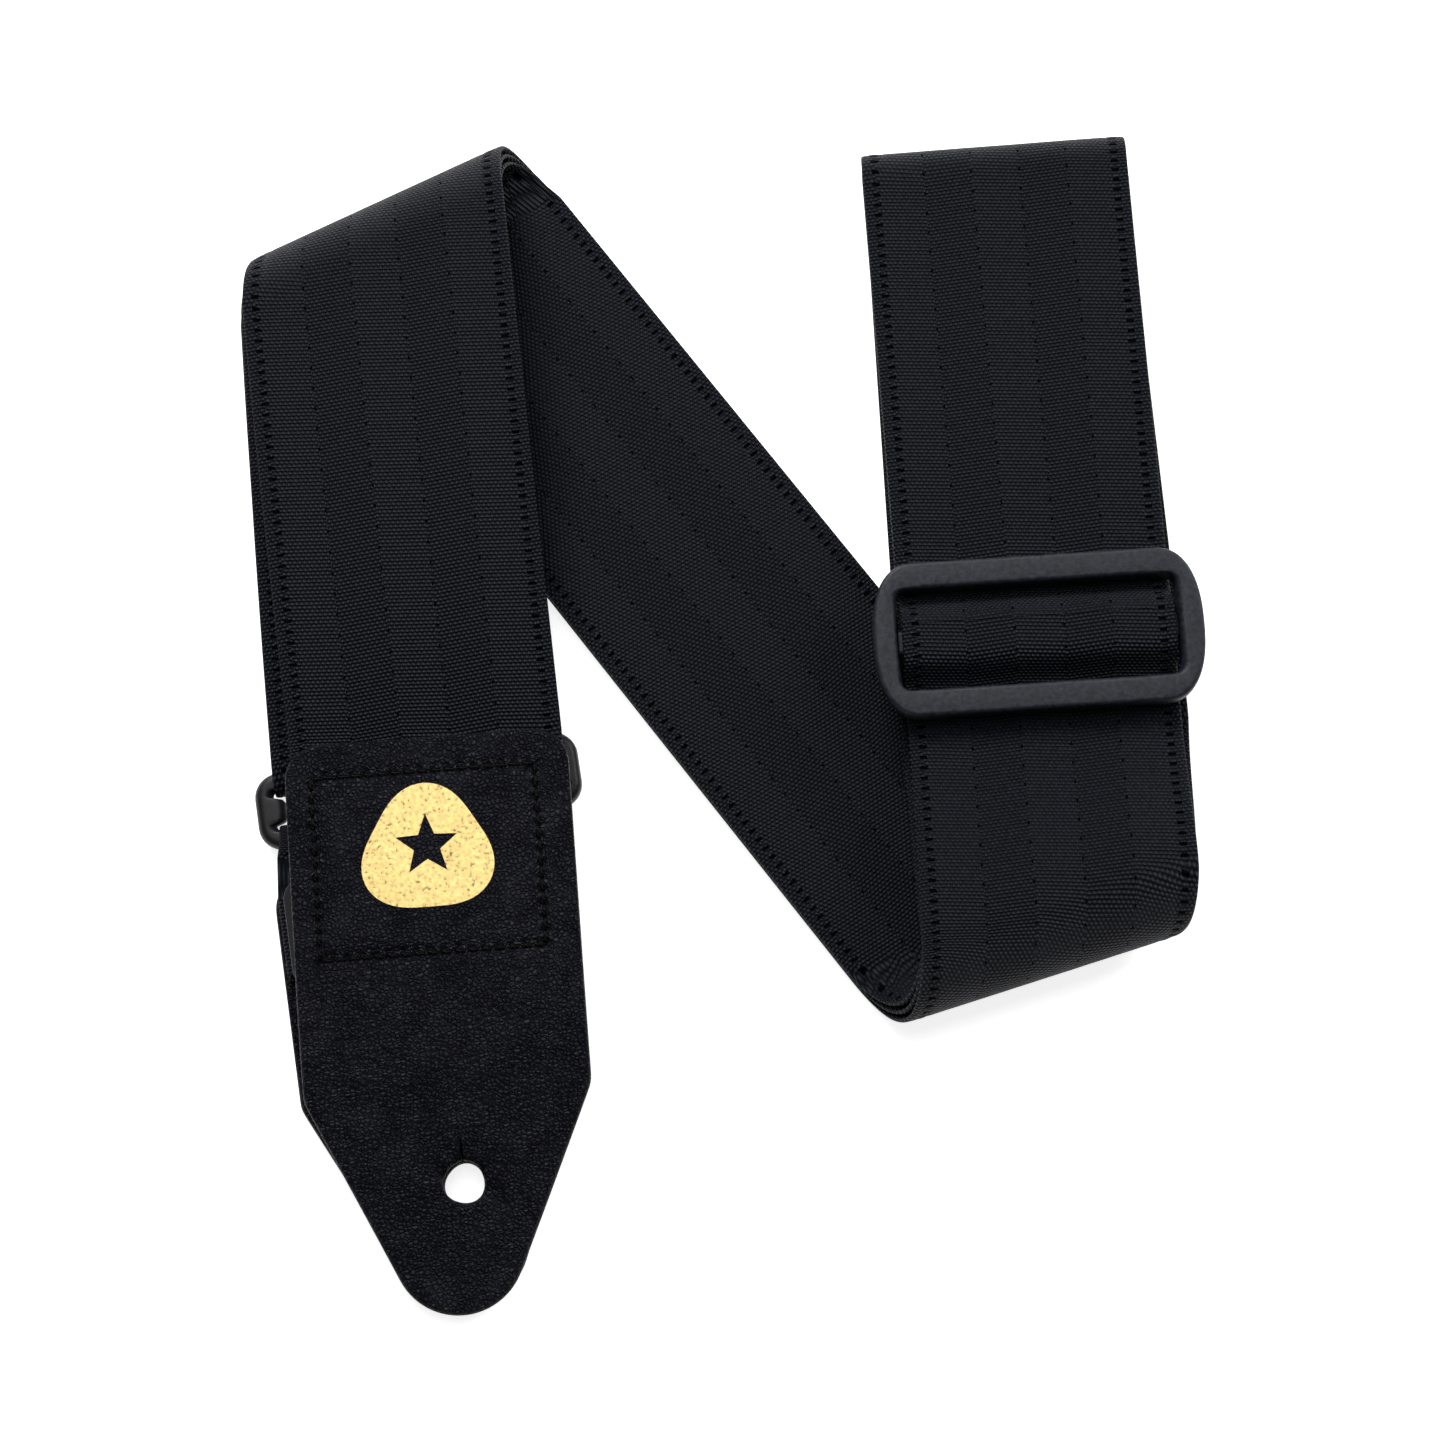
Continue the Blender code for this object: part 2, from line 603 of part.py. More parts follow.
def main():
    clear_scene()
    parts = collection(NAME)
    cutters = collection(NAME + "_cutters", hidden=True)
    finishes = {
        "webbing": material("woven polypropylene webbing", (0.013, 0.015, 0.018), 0.55),
        "leather": material("smooth black leather", (0.011, 0.012, 0.015), 0.42),
        "suede": material("split leather backing", (0.02, 0.02, 0.022), 0.85),
        "plastic": material("moulded acetal", (0.03, 0.032, 0.04), 0.5),
        "thread": material("waxed nylon thread", (0.006, 0.006, 0.008), 0.45),
        "foil": material("hot-stamped foil", (0.75, 0.57, 0.22), 0.35),
    }
    front_strand(parts, finishes["webbing"])
    hidden_strand("back", 2, parts, finishes["webbing"])
    hidden_strand("middle", 1, parts, finishes["webbing"])
    loops(parts, finishes["webbing"])
    slider(parts, finishes["plastic"])
    ring(parts, finishes["plastic"])
    front_end(parts, cutters, finishes)
    rear_end(parts, cutters, finishes)
    slider_stitching(parts, finishes["thread"])
    centre_on_origin()


main()
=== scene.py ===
"""Looks of the folded guitar strap: woven webbing, leather ends, slider, ring, stitching and foil emblem."""

import math
import random

import bpy
import numpy as np
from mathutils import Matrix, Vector


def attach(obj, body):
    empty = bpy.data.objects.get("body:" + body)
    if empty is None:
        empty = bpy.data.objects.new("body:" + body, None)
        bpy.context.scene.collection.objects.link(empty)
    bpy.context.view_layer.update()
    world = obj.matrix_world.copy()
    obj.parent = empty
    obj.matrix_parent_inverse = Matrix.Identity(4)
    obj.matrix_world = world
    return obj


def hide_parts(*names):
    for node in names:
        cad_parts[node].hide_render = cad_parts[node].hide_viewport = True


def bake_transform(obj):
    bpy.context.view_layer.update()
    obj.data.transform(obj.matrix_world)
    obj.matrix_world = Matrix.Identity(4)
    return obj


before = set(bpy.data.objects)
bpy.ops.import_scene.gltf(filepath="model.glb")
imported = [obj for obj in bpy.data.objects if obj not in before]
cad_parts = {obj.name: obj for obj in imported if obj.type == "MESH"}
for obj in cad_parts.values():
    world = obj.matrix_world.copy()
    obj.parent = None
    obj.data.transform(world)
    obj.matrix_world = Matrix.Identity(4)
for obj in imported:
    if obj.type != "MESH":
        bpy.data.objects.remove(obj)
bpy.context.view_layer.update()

bl_info = {
    "name": "Folded guitar strap",
    "version": (1, 0, 0),
    "blender": (4, 5, 0),
    "location": "View3D > Sidebar > Strap",
    "description": "Builds a folded woven guitar strap with leather ends, a slider and a ring",
    "category": "Add Mesh",
}

MM = 0.001

# The route of the webbing, in millimetres, before the whole is centred on the origin.
CENTRE_SHIFT = np.array((0.5132, -2.9342, 0.0))
TOP_LEFT_RUN_SIDE = ((-90.3, 77.0), (-41.5, 99.5))
TOP_LEFT_DIAGONAL_SIDE = ((-78.5, 83.0), (-33.5, 107.0))
BOTTOM_DIAGONAL_SIDE = ((25.0, -49.5), (75.7, -32.5))
BOTTOM_RUN_SIDE = ((36.3, -45.6), (86.8, -30.0))
TOP_RIGHT_FRONT_SIDE = ((26.8, 106.1), (77.7, 110.2))
TOP_RIGHT_BACK_SIDE = ((27.6, 106.1), (78.5, 110.2))
TOP_LEFT_OUTWARD = 114.5
BOTTOM_OUTWARD = -71.5
TOP_RIGHT_OUTWARD = 94.5
RUN_STEPS = 60
FOLD_STEPS = 28
BIG_FOLD_RADIUS = 9.7
TIGHT_FOLD_RADIUS = 5.1
LAYER_PITCH = 1.6
WEB_WIDTH = 50.8
WEB_THICK = 1.2
CLEARANCE = 0.3
FLOOR_LAYER = WEB_THICK / 2
# How far the hidden strands stand out sideways past the front one.
BACK_ASIDE = {"slider": 2.3, "fold": -0.9}
MIDDLE_ASIDE = {"slider": -1.1, "fold": -0.5}
BACK_LEVEL_AT_SLIDER = 6.0
SLIDER_CENTRE = (58.7, 14.7)
SLIDER_TILT = 3.8
SLIDER_BASE = 13.6
SLIDER_THICK = 3.8
SLIDER_HEIGHT = 29.4
SLIDER_WIDTH = 61.6
SLIDER_WINDOW = (53.8, 19.2)
SLIDER_OPENING = {"above": 53.0, "below": 51.4}
SLIDER_BOW = 8.5
SLIDER_BOW_POWER = 2.4
BAR_BOTTOM = 12.6
BAR_THICK = 2.4
BAR_WIDTH = 4.6
UNDER_SLIDER = SLIDER_BASE - CLEARANCE - WEB_THICK / 2
FLAP_LEVEL = UNDER_SLIDER - 2 * LAYER_PITCH - 0.5
FLAP_BOX = (44.0, 14.0)
FLAP_BOX_ALONG = 29.0
# Points on the right run, along it from the slider's centre, kept with the pieces near the slider; only
# whether a piece has them is used.
BLEND_AT = {"low": -36.0, "low_bar": -17.0, "high_bar": 17.0, "high": 88.0}
BLEND_LEVEL = 12.0
# Rows of half a ladder pitch between a fold or the bar and the cut between two pieces of webbing.
ROWS_PAST_FOLD = 10
ROWS_SHORT_OF_FOLD = 8
RULINGS_TO_BAR = 26
RING_CENTRE = (-56.9, -12.8)
RING_TILT = 8.7
RING_WIDTH = 61.0
RING_HEIGHT = 14.6
RING_BAR = 3.4
RING_LEVEL = 3.5
RING_OPENING = 54.0
# Half outline of the thicker end between the two loops of webbing.
RING_END = ((26.9, -2.6), (25.3, -2.1), (24.8, -1.4), (24.8, 0.0),
            (24.8, 1.4), (25.3, 2.1), (26.9, 2.6))
WEBBING_LEFT_AT_RING = 1.2
FRONT_TOP = (-55.3, -4.0)
FRONT_TILT = 4.4
FRONT_LEVEL = 10.0
FRONT_TIP_LEVEL = 2.6
FRONT_FLAT_TO = 42.0
FRONT_LOW_FROM = 100.0
LEATHER_THICK = 2.0
LEATHER_HALF_WIDTH = 26.4
LEATHER_LENGTH = 106.3
LEATHER_SHOULDER = 66.0
LEATHER_CORNER = 6.5
LEATHER_TIP_RADIUS = 12.2
HOLE_RADIUS = 3.75
HOLE_U = 1.8
HOLE_V = 82.4
SLIT_LENGTH = 3.6
REAR_LENGTH = 84.0
REAR_TILT = 8.6
REAR_TIP_TRIM = 1.8
BOX_SIZE = (41.5, 34.0)
BOX_CENTRE = (-0.8, 23.5)
REAR_BOX_SIZE = (41.5, 14.0)
REAR_BOX_CENTRE = (0.0, 12.0)
FOIL_CENTRE = (-0.8, 21.7)
FOIL_HALF = 11.6
FOIL_THICK = 0.08
BACKING_THICK = 1.0
BACKING_MARGIN = 7.0
REAR_STACK = LEATHER_THICK + 2 * CLEARANCE + WEB_THICK + LAYER_PITCH

VIEW_DISTANCE = 700.0
VIEW_ELEVATION = 78.0
VIEW_WIDTH = 271.107
SENSOR_WIDTH = 36.0


def linear(hex_colour):
    """An sRGB hex colour as linear red, green and blue."""
    values = [int(hex_colour[i : i + 2], 16) / 255 for i in (1, 3, 5)]
    return tuple(v / 12.92 if v <= 0.04045 else ((v + 0.055) / 1.055) ** 2.4 for v in values)


class StrapSizes(bpy.types.PropertyGroup):
    """Sizes of the details that a maker would change."""

    ladder_pitch: bpy.props.FloatProperty(
        name="Selvedge pitch", description="Distance between the ladder rungs along each selvedge",
        default=2.05 * MM, precision=5, unit="LENGTH")
    ladder_inset: bpy.props.FloatProperty(
        name="Selvedge inset", description="Distance from the webbing's edge to the ladder",
        default=1.5 * MM, precision=5, unit="LENGTH")
    ladder_width: bpy.props.FloatProperty(
        name="Selvedge width", description="Width of the ladder", default=2.0 * MM,
        precision=5, unit="LENGTH")
    stitch_pitch: bpy.props.FloatProperty(
        name="Stitch pitch", description="Length of one lock stitch", default=2.5 * MM,
        precision=5, unit="LENGTH")
    thread_width: bpy.props.FloatProperty(
        name="Thread width", description="Width of the sewing thread", default=0.85 * MM,
        precision=5, unit="LENGTH")
    edge_radius: bpy.props.FloatProperty(
        name="Moulded edge radius", description="Rounding along the slider's edges",
        default=0.9 * MM, precision=5, unit="LENGTH")


def colour_property(name, description, hex_colour):
    """A colour of a finish, with its default as sRGB hex."""
    return bpy.props.FloatVectorProperty(name=name, description=description, subtype="COLOR", size=3,
                                         min=0.0, max=1.0, default=linear(hex_colour))


class StrapColours(bpy.types.PropertyGroup):
    """Colours of the strap's finishes."""

    webbing: colour_property("Webbing", "Dyed polyester yarn", "#0d0f16")
    leather: colour_property("Leather", "Finished leather face", "#0a0b12")
    suede: colour_property("Suede", "Split leather backing", "#121216")
    slider: colour_property("Slider", "Moulded slider", "#191b23")
    ring: colour_property("Ring", "Moulded ring", "#0c0c10")
    thread: colour_property("Thread", "Sewing thread", "#040406")
    foil: colour_property("Foil", "Hot-stamped foil", "#e4c67c")
    floor: colour_property("Floor", "Studio floor", "#f6f6f6")


# ---------------------------------------------------------------- shared geometry


def unit(degrees):
    """The unit vector at an angle anticlockwise from x."""
    return np.array((math.cos(math.radians(degrees)), math.sin(math.radians(degrees))))


def smooth(t):
    """Eases 0 to 1 in and out."""
    t = np.clip(t, 0.0, 1.0)
    return t * t * (3 - 2 * t)


def sag(t):
    """Eases 0 to 1 slowly at first, as webbing sags off a fold."""
    return t**2.2


def lift(t):
    """Eases 0 to 1 slowly at last, as webbing lifts onto a fold."""
    return 1 - sag(1 - t)


def fold(start, end, levels, outward, steps=FOLD_STEPS):
    """Rulings of webbing that turns half round and over, from one pair of edge points to another."""
    radius = abs(levels[1] - levels[0]) / 2
    rows = []
    for i in range(steps + 1):
        t = i / steps
        bulge = unit(outward) * radius * math.sin(math.pi * t)
        level = levels[0] + (levels[1] - levels[0]) * (1 - math.cos(math.pi * t)) / 2
        rows.append([np.append(np.array(a) * (1 - t) + np.array(b) * t + bulge, level)
                     for a, b in zip(start, end)])
    return rows


def run(start, end, levels, ease=smooth, steps=RUN_STEPS):
    """Rulings of a straight stretch whose level is eased between two values."""
    rows = []
    for i in range(steps + 1):
        t = i / steps
        level = levels[0] + (levels[1] - levels[0]) * ease(t)
        rows.append([np.append(np.array(a) * (1 - t) + np.array(b) * t, level) for a, b in zip(start, end)])
    return rows


def edge_line(middle, tilt):
    """The webbing's two edge points about a middle point."""
    return tuple(np.array(middle) + unit(tilt) * side * WEB_WIDTH / 2 for side in (-1, 1))


def aside(line, distance):
    """A line across the webbing, moved along itself, because the layers don't lie quite edge to edge."""
    a, b = (np.array(end, float) for end in line)
    shift = (b - a) / np.linalg.norm(b - a) * distance
    return a + shift, b + shift


def slider_line(along):
    """The webbing's two edge points on the right run, at a distance from the slider's centre."""
    return edge_line(np.array(SLIDER_CENTRE) + unit(SLIDER_TILT + 90) * along, SLIDER_TILT)


def slider_rows(profile):
    """Rulings across the slider from (distance along the run, level) pairs."""
    return [[np.append(xy, level) for xy in slider_line(along)] for along, level in profile]


def eased_profile(start, end, steps=24):
    """(distance, level) pairs between two ends, with the level eased."""
    pairs = []
    for i in range(steps + 1):
        t = i / steps
        pairs.append((start[0] + (end[0] - start[0]) * t, start[1] + (end[1] - start[1]) * smooth(t)))
    return pairs


def leather_point(top, tilt, u, v):
    """A point of a leather end, u across it and v down from its top."""
    return np.array(top) + unit(tilt) * u + unit(tilt - 90) * v


def leather_line(top, tilt, v):
    """The webbing's two edge points across a leather end, v down from its top."""
    return edge_line(leather_point(top, tilt, 0.0, v), tilt)


def ring_line(bar):
    """The webbing's two edge points on the ring's upper (1) or lower (-1) bar."""
    middle = np.array(RING_CENTRE) + unit(RING_TILT + 90) * bar * (RING_HEIGHT - RING_BAR) / 2
    return edge_line(middle - unit(RING_TILT) * WEBBING_LEFT_AT_RING, RING_TILT)


def rear_top():
    """The rear leather's top, placed so that both button holes lie over each other."""
    hole = leather_point(FRONT_TOP, FRONT_TILT, HOLE_U, HOLE_V)
    return leather_point(hole, REAR_TILT, -HOLE_U, -rear_hole_v())


def rear_hole_v():
    """How far the rear leather's hole lies from its top."""
    return REAR_LENGTH - (LEATHER_LENGTH - HOLE_V) + REAR_TIP_TRIM


def fold_levels(layer):
    """The lower and upper level of a layer at the big folds."""
    low = FLOOR_LAYER + layer * LAYER_PITCH
    return low, low + 2 * (BIG_FOLD_RADIUS - layer * LAYER_PITCH)


def front_rows():
    """The front strand: leather end, left run, diagonal, right run over the slider's bar, tight fold."""
    low, high = fold_levels(0)
    inner = FRONT_LEVEL - CLEARANCE - WEB_THICK / 2
    tail, mouth = (leather_line(FRONT_TOP, FRONT_TILT, v) for v in (38.0, 0.0))
    window = SLIDER_WINDOW[1] / 2 - 0.8
    over = BAR_BOTTOM + BAR_THICK + CLEARANCE + WEB_THICK / 2 + LAYER_PITCH
    top = FLOOR_LAYER + 2 * TIGHT_FOLD_RADIUS
    below, above = (slider_line(side * (SLIDER_HEIGHT / 2 + 1.0)) for side in (-1, 1))
    rows = run(tail, mouth, (inner, inner))
    rows += run(mouth, TOP_LEFT_RUN_SIDE, (inner, high), lift)
    rows += fold(TOP_LEFT_RUN_SIDE, TOP_LEFT_DIAGONAL_SIDE, (high, low), TOP_LEFT_OUTWARD)
    rows += run(TOP_LEFT_DIAGONAL_SIDE, BOTTOM_DIAGONAL_SIDE, (low, low))
    rows += fold(BOTTOM_DIAGONAL_SIDE, BOTTOM_RUN_SIDE, (low, high), BOTTOM_OUTWARD)
    rows += run(BOTTOM_RUN_SIDE, below, (high, UNDER_SLIDER))
    rows += slider_rows(eased_profile((-window, UNDER_SLIDER), (-BAR_WIDTH / 2 - 0.8, over)))
    rows += slider_rows(eased_profile((BAR_WIDTH / 2 + 0.9, over), (window, UNDER_SLIDER)))
    rows += run(above, TOP_RIGHT_FRONT_SIDE, (UNDER_SLIDER, top))
    rows += fold(TOP_RIGHT_FRONT_SIDE, TOP_RIGHT_BACK_SIDE, (top, FLOOR_LAYER), TOP_RIGHT_OUTWARD)
    return rows


def back_rows():
    """The back strand, from the tight fold to the turn round the ring's upper bar."""
    low, high = fold_levels(2)
    below = aside(slider_line(-SLIDER_HEIGHT / 2 - 1.0), BACK_ASIDE["slider"])
    upper_left = aside(TOP_LEFT_RUN_SIDE, BACK_ASIDE["fold"])
    reach = RING_BAR / 2 + CLEARANCE + WEB_THICK / 2
    rows = run(TOP_RIGHT_BACK_SIDE, below, (FLOOR_LAYER, BACK_LEVEL_AT_SLIDER))
    rows += run(below, BOTTOM_RUN_SIDE, (BACK_LEVEL_AT_SLIDER, high))
    rows += fold(BOTTOM_RUN_SIDE, BOTTOM_DIAGONAL_SIDE, (high, low), BOTTOM_OUTWARD)
    rows += run(BOTTOM_DIAGONAL_SIDE, TOP_LEFT_DIAGONAL_SIDE, (low, low))
    rows += fold(TOP_LEFT_DIAGONAL_SIDE, upper_left, (low, high), TOP_LEFT_OUTWARD)
    rows += run(upper_left, ring_line(1), (high, RING_LEVEL - reach), sag)
    rows += fold(ring_line(1), ring_line(1), (RING_LEVEL - reach, RING_LEVEL + reach), RING_TILT - 90)
    return rows


def middle_rows():
    """The middle strand, from the ring to its end sewn round the slider's bar."""
    low, high = fold_levels(1)
    above = slider_line(SLIDER_HEIGHT / 2 + 1.0)
    below = aside(slider_line(-SLIDER_HEIGHT / 2 - 1.0), MIDDLE_ASIDE["slider"])
    upper_left = aside(TOP_LEFT_RUN_SIDE, MIDDLE_ASIDE["fold"])
    reach = RING_BAR / 2 + CLEARANCE + WEB_THICK / 2
    floor = FLOOR_LAYER + LAYER_PITCH
    at_slider = BACK_LEVEL_AT_SLIDER + LAYER_PITCH
    inner_top = FLOOR_LAYER + 2 * TIGHT_FOLD_RADIUS - LAYER_PITCH
    under_front = UNDER_SLIDER - LAYER_PITCH
    rows = run(ring_line(1), upper_left, (RING_LEVEL + reach, high), lift)
    rows += fold(upper_left, TOP_LEFT_DIAGONAL_SIDE, (high, low), TOP_LEFT_OUTWARD)
    rows += run(TOP_LEFT_DIAGONAL_SIDE, BOTTOM_DIAGONAL_SIDE, (low, low))
    rows += fold(BOTTOM_DIAGONAL_SIDE, BOTTOM_RUN_SIDE, (low, high), BOTTOM_OUTWARD)
    rows += run(BOTTOM_RUN_SIDE, below, (high, at_slider))
    rows += run(below, TOP_RIGHT_BACK_SIDE, (at_slider, floor))
    rows += fold(TOP_RIGHT_BACK_SIDE, TOP_RIGHT_FRONT_SIDE, (floor, inner_top), TOP_RIGHT_OUTWARD)
    rows += run(TOP_RIGHT_FRONT_SIDE, above, (inner_top, under_front))
    return rows + slider_rows(bar_loop_profile())


def bar_loop_profile():
    """The sewn end: over the slider's bar, round it and back along the underside."""
    over = BAR_BOTTOM + BAR_THICK + CLEARANCE + WEB_THICK / 2
    under = BAR_BOTTOM - CLEARANCE - WEB_THICK / 2
    radius = (over - under) / 2
    window = SLIDER_WINDOW[1] / 2 - 0.8
    turn = -BAR_WIDTH / 2 + 0.5
    pairs = [(window, UNDER_SLIDER - LAYER_PITCH)]
    pairs += eased_profile((window - 1.4, UNDER_SLIDER - LAYER_PITCH), (BAR_WIDTH / 2 - 0.3, over))
    for i in range(25):
        angle = math.pi * i / 24
        pairs.append((turn - radius * math.sin(angle), over - radius + radius * math.cos(angle)))
    pairs += eased_profile((2.0, under), (window, FLAP_LEVEL))
    pairs.append((40.0, FLAP_LEVEL))
    return pairs


def tab_rows():
    """The rear end's webbing tab, round the ring's lower bar."""
    reach = RING_BAR / 2 + CLEARANCE + WEB_THICK / 2
    lower = LEATHER_THICK + CLEARANCE + WEB_THICK / 2
    upper = lower + LAYER_PITCH
    edges = ring_line(-1)
    inside, mouth = (leather_line(rear_top(), REAR_TILT, v) for v in (20.0, 0.0))
    rows = run(inside, mouth, (lower, lower)) + run(mouth, edges, (lower, RING_LEVEL - reach))
    rows += fold(edges, edges, (RING_LEVEL - reach, RING_LEVEL + reach), RING_TILT + 90)
    return rows + run(edges, mouth, (RING_LEVEL + reach, upper)) + run(mouth, inside, (upper, upper))


class Strand:
    """A webbing surface between its two edges, with the length along the webbing at every ruling."""

    def __init__(self, rows):
        kept = [rows[0]]
        for row in rows[1:]:
            if sum(np.linalg.norm(a - b) for a, b in zip(row, kept[-1])) > 0.15:
                kept.append(row)
        left, right = (np.array([row[side] for row in kept]) for side in (0, 1))
        lengths = np.linalg.norm(np.diff((left + right) / 2, axis=0), axis=1)
        along = np.concatenate(([0.0], np.cumsum(lengths)))
        even = np.linspace(0.0, along[-1], int(along[-1] / 0.8))
        left, right = (self.eased(self.spread(even, along, edge)) for edge in (left, right))
        middle = (left + right) / 2
        tangent = np.gradient(middle, axis=0)
        tangent /= np.linalg.norm(tangent, axis=1)[:, None]
        for _ in range(6):
            tangent[1:-1] = (tangent[:-2] + 2 * tangent[1:-1] + tangent[2:]) / 4
        slant = np.sum((right - left) * tangent, axis=1)
        steps = np.linalg.norm(np.diff(middle, axis=0), axis=1)
        centre_length = np.concatenate(([0.0], np.cumsum(steps)))
        self.left, self.right, self.slant, self.centre_length = left, right, slant, centre_length
        self.length = centre_length[-1]

    @staticmethod
    def spread(even, along, edge):
        return np.stack([np.interp(even, along, edge[:, axis]) for axis in range(3)], axis=1)

    @staticmethod
    def eased(edge):
        for _ in range(2):
            edge[1:-1] = (edge[:-2] + 2 * edge[1:-1] + edge[2:]) / 4
        return edge

    def column(self, share, lengths):
        """Points at one share of the width and the given lengths along the webbing."""
        own = self.centre_length + (share - 0.5) * self.slant
        own = np.maximum.accumulate(own + np.arange(len(own)) * 1e-7)
        index = np.interp(lengths, own, np.arange(len(own)))
        edge = self.left * (1 - share) + self.right * share
        whole = np.arange(len(own))
        return np.stack([np.interp(index, whole, edge[:, axis]) for axis in range(3)], axis=1)


def half_profile(sizes):
    """(distance from the edge, half thickness, rung amount) across one side of the webbing, mm."""
    inset = sizes.ladder_inset / MM
    width = sizes.ladder_width / MM
    return [(0.0, 0.0, 0.0), (0.06, 0.26, 0.0), (0.3, 0.42, 0.0), (0.8, 0.5, 0.0),
            (inset - 0.2, 0.47, 0.0), (inset + 0.1, 0.44, 0.14), (inset + width / 2, 0.46, 0.16),
            (inset + width - 0.1, 0.44, 0.14), (inset + width + 0.2, 0.5, 0.0),
            (inset + width + 1.2, 0.58, 0.0)]


def cross_section(sizes):
    """Shares of the width, half thicknesses and rung amounts from the left edge to the right."""
    side = half_profile(sizes)
    body = [(side[-1][0] + (WEB_WIDTH - 2 * side[-1][0]) * i / 9, 0.58, 0.0) for i in range(1, 9)]
    across = side + body + [(WEB_WIDTH - d, h, k) for d, h, k in reversed(side)]
    return [(d / WEB_WIDTH, h, k) for d, h, k in across]


def place(mesh_points):
    """Points in millimetres on the route, as metres about the centred origin."""
    return (np.asarray(mesh_points, float) + CENTRE_SHIFT) * MM


def select_only(obj):
    """Selects one object alone and makes it active."""
    for other in bpy.context.selected_objects:
        other.select_set(False)
    obj.select_set(True)
    bpy.context.view_layer.objects.active = obj


def mesh_object(name, points, faces, finish):
    """A mesh object with one finish, linked to the scene."""
    mesh = bpy.data.meshes.new(name)
    mesh.from_pydata([tuple(p) for p in points], [], faces)
    mesh.materials.append(finish)
    obj = bpy.data.objects.new(name, mesh)
    bpy.context.scene.collection.objects.link(obj)
    return obj


def quads(rows, count, closed):
    """Faces between neighbouring loops of points, and from the last loop to the first if closed."""
    faces = []
    for r in range(rows if closed else rows - 1):
        s = (r + 1) % rows
        for c in range(count):
            d = (c + 1) % count
            faces.append((r * count + c, r * count + d, s * count + d, s * count + c))
    return faces


def webbing(name, strand, first, last, sizes, finish):
    """One piece of webbing between two row numbers, with its ladder selvedges in the mesh."""
    half_pitch = sizes.ladder_pitch / MM / 2
    section = cross_section(sizes)
    numbers = np.arange(first, last + 1)
    lengths = numbers * half_pitch
    grid = np.stack([strand.column(share, lengths) for share, _, _ in section], axis=1)
    along = np.gradient(grid, axis=0)
    for _ in range(2):
        along[1:-1] = (along[:-2] + 2 * along[1:-1] + along[2:]) / 4
    across = (strand.column(1.0, lengths) - strand.column(0.0, lengths))[:, None, :]
    normal = np.cross(np.broadcast_to(across, along.shape), along)
    normal /= np.linalg.norm(normal, axis=2)[:, :, None]
    rung = np.where(numbers % 2 == 0, 1.0, -0.6)[:, None]
    height = np.array([h for _, h, _ in section]) + rung * np.array([k for _, _, k in section])
    front = grid + normal * height[:, :, None]
    back = (grid - normal * height[:, :, None])[:, 1:-1][:, ::-1]
    ring = np.concatenate((front, back), axis=1)
    rows, count = ring.shape[:2]
    shares = [s for s, _, _ in section]
    shares = shares + shares[1:-1][::-1]
    faces = quads(rows, count, closed=False)
    faces.append(tuple(reversed(range(count))))
    faces.append(tuple((rows - 1) * count + c for c in range(count)))
    obj = mesh_object(name, place(ring.reshape(-1, 3)), faces, finish)
    uv = obj.data.uv_layers.new(name="weave")
    columns = np.array(shares)
    corner = np.empty(len(obj.data.loops), int)
    obj.data.loops.foreach_get("vertex_index", corner)
    values = np.stack((columns[corner % count], lengths[corner // count] / WEB_WIDTH), axis=1)
    uv.data.foreach_set("uv", values.astype(np.float32).reshape(-1))
    select_only(obj)
    bpy.ops.object.shade_smooth_by_angle(angle=math.radians(60))
    return obj, (last - first) * half_pitch * MM


def row_at(strand_rows, number, sizes):
    """How many half-pitch rows lie before a ruling of the long strand."""
    part = Strand(strand_rows[:number])
    return int(round(part.length / (sizes.ladder_pitch / MM / 2)))


# ---------------------------------------------------------------- materials


def add(tree, kind, settings=None, inputs=None, stops=()):
    """A node with its settings, its inputs set or linked, and a colour ramp's (position, colour) stops."""
    node = tree.nodes.new(kind)
    for name, value in (settings or {}).items():
        setattr(node, name, value)
    for key, value in (inputs or {}).items():
        socket = node.inputs[key]
        if isinstance(value, bpy.types.NodeSocket):
            tree.links.new(value, socket)
        else:
            socket.default_value = value
    while stops and len(node.color_ramp.elements) < len(stops):
        node.color_ramp.elements.new(0.5)
    for i, (position, colour) in enumerate(stops):
        node.color_ramp.elements[i].position = position
        node.color_ramp.elements[i].color = (*colour, 1.0)
    return node


def new_material(name):
    """A node material, its tree and its shader."""
    made = bpy.data.materials.new(name)
    made.use_nodes = True
    tree = made.node_tree
    shader = tree.nodes["Principled BSDF"]
    return made, tree, shader


def tint(colour, factor):
    """A colour made darker or lighter by a factor."""
    return tuple(min(c * factor, 1.0) for c in colour)


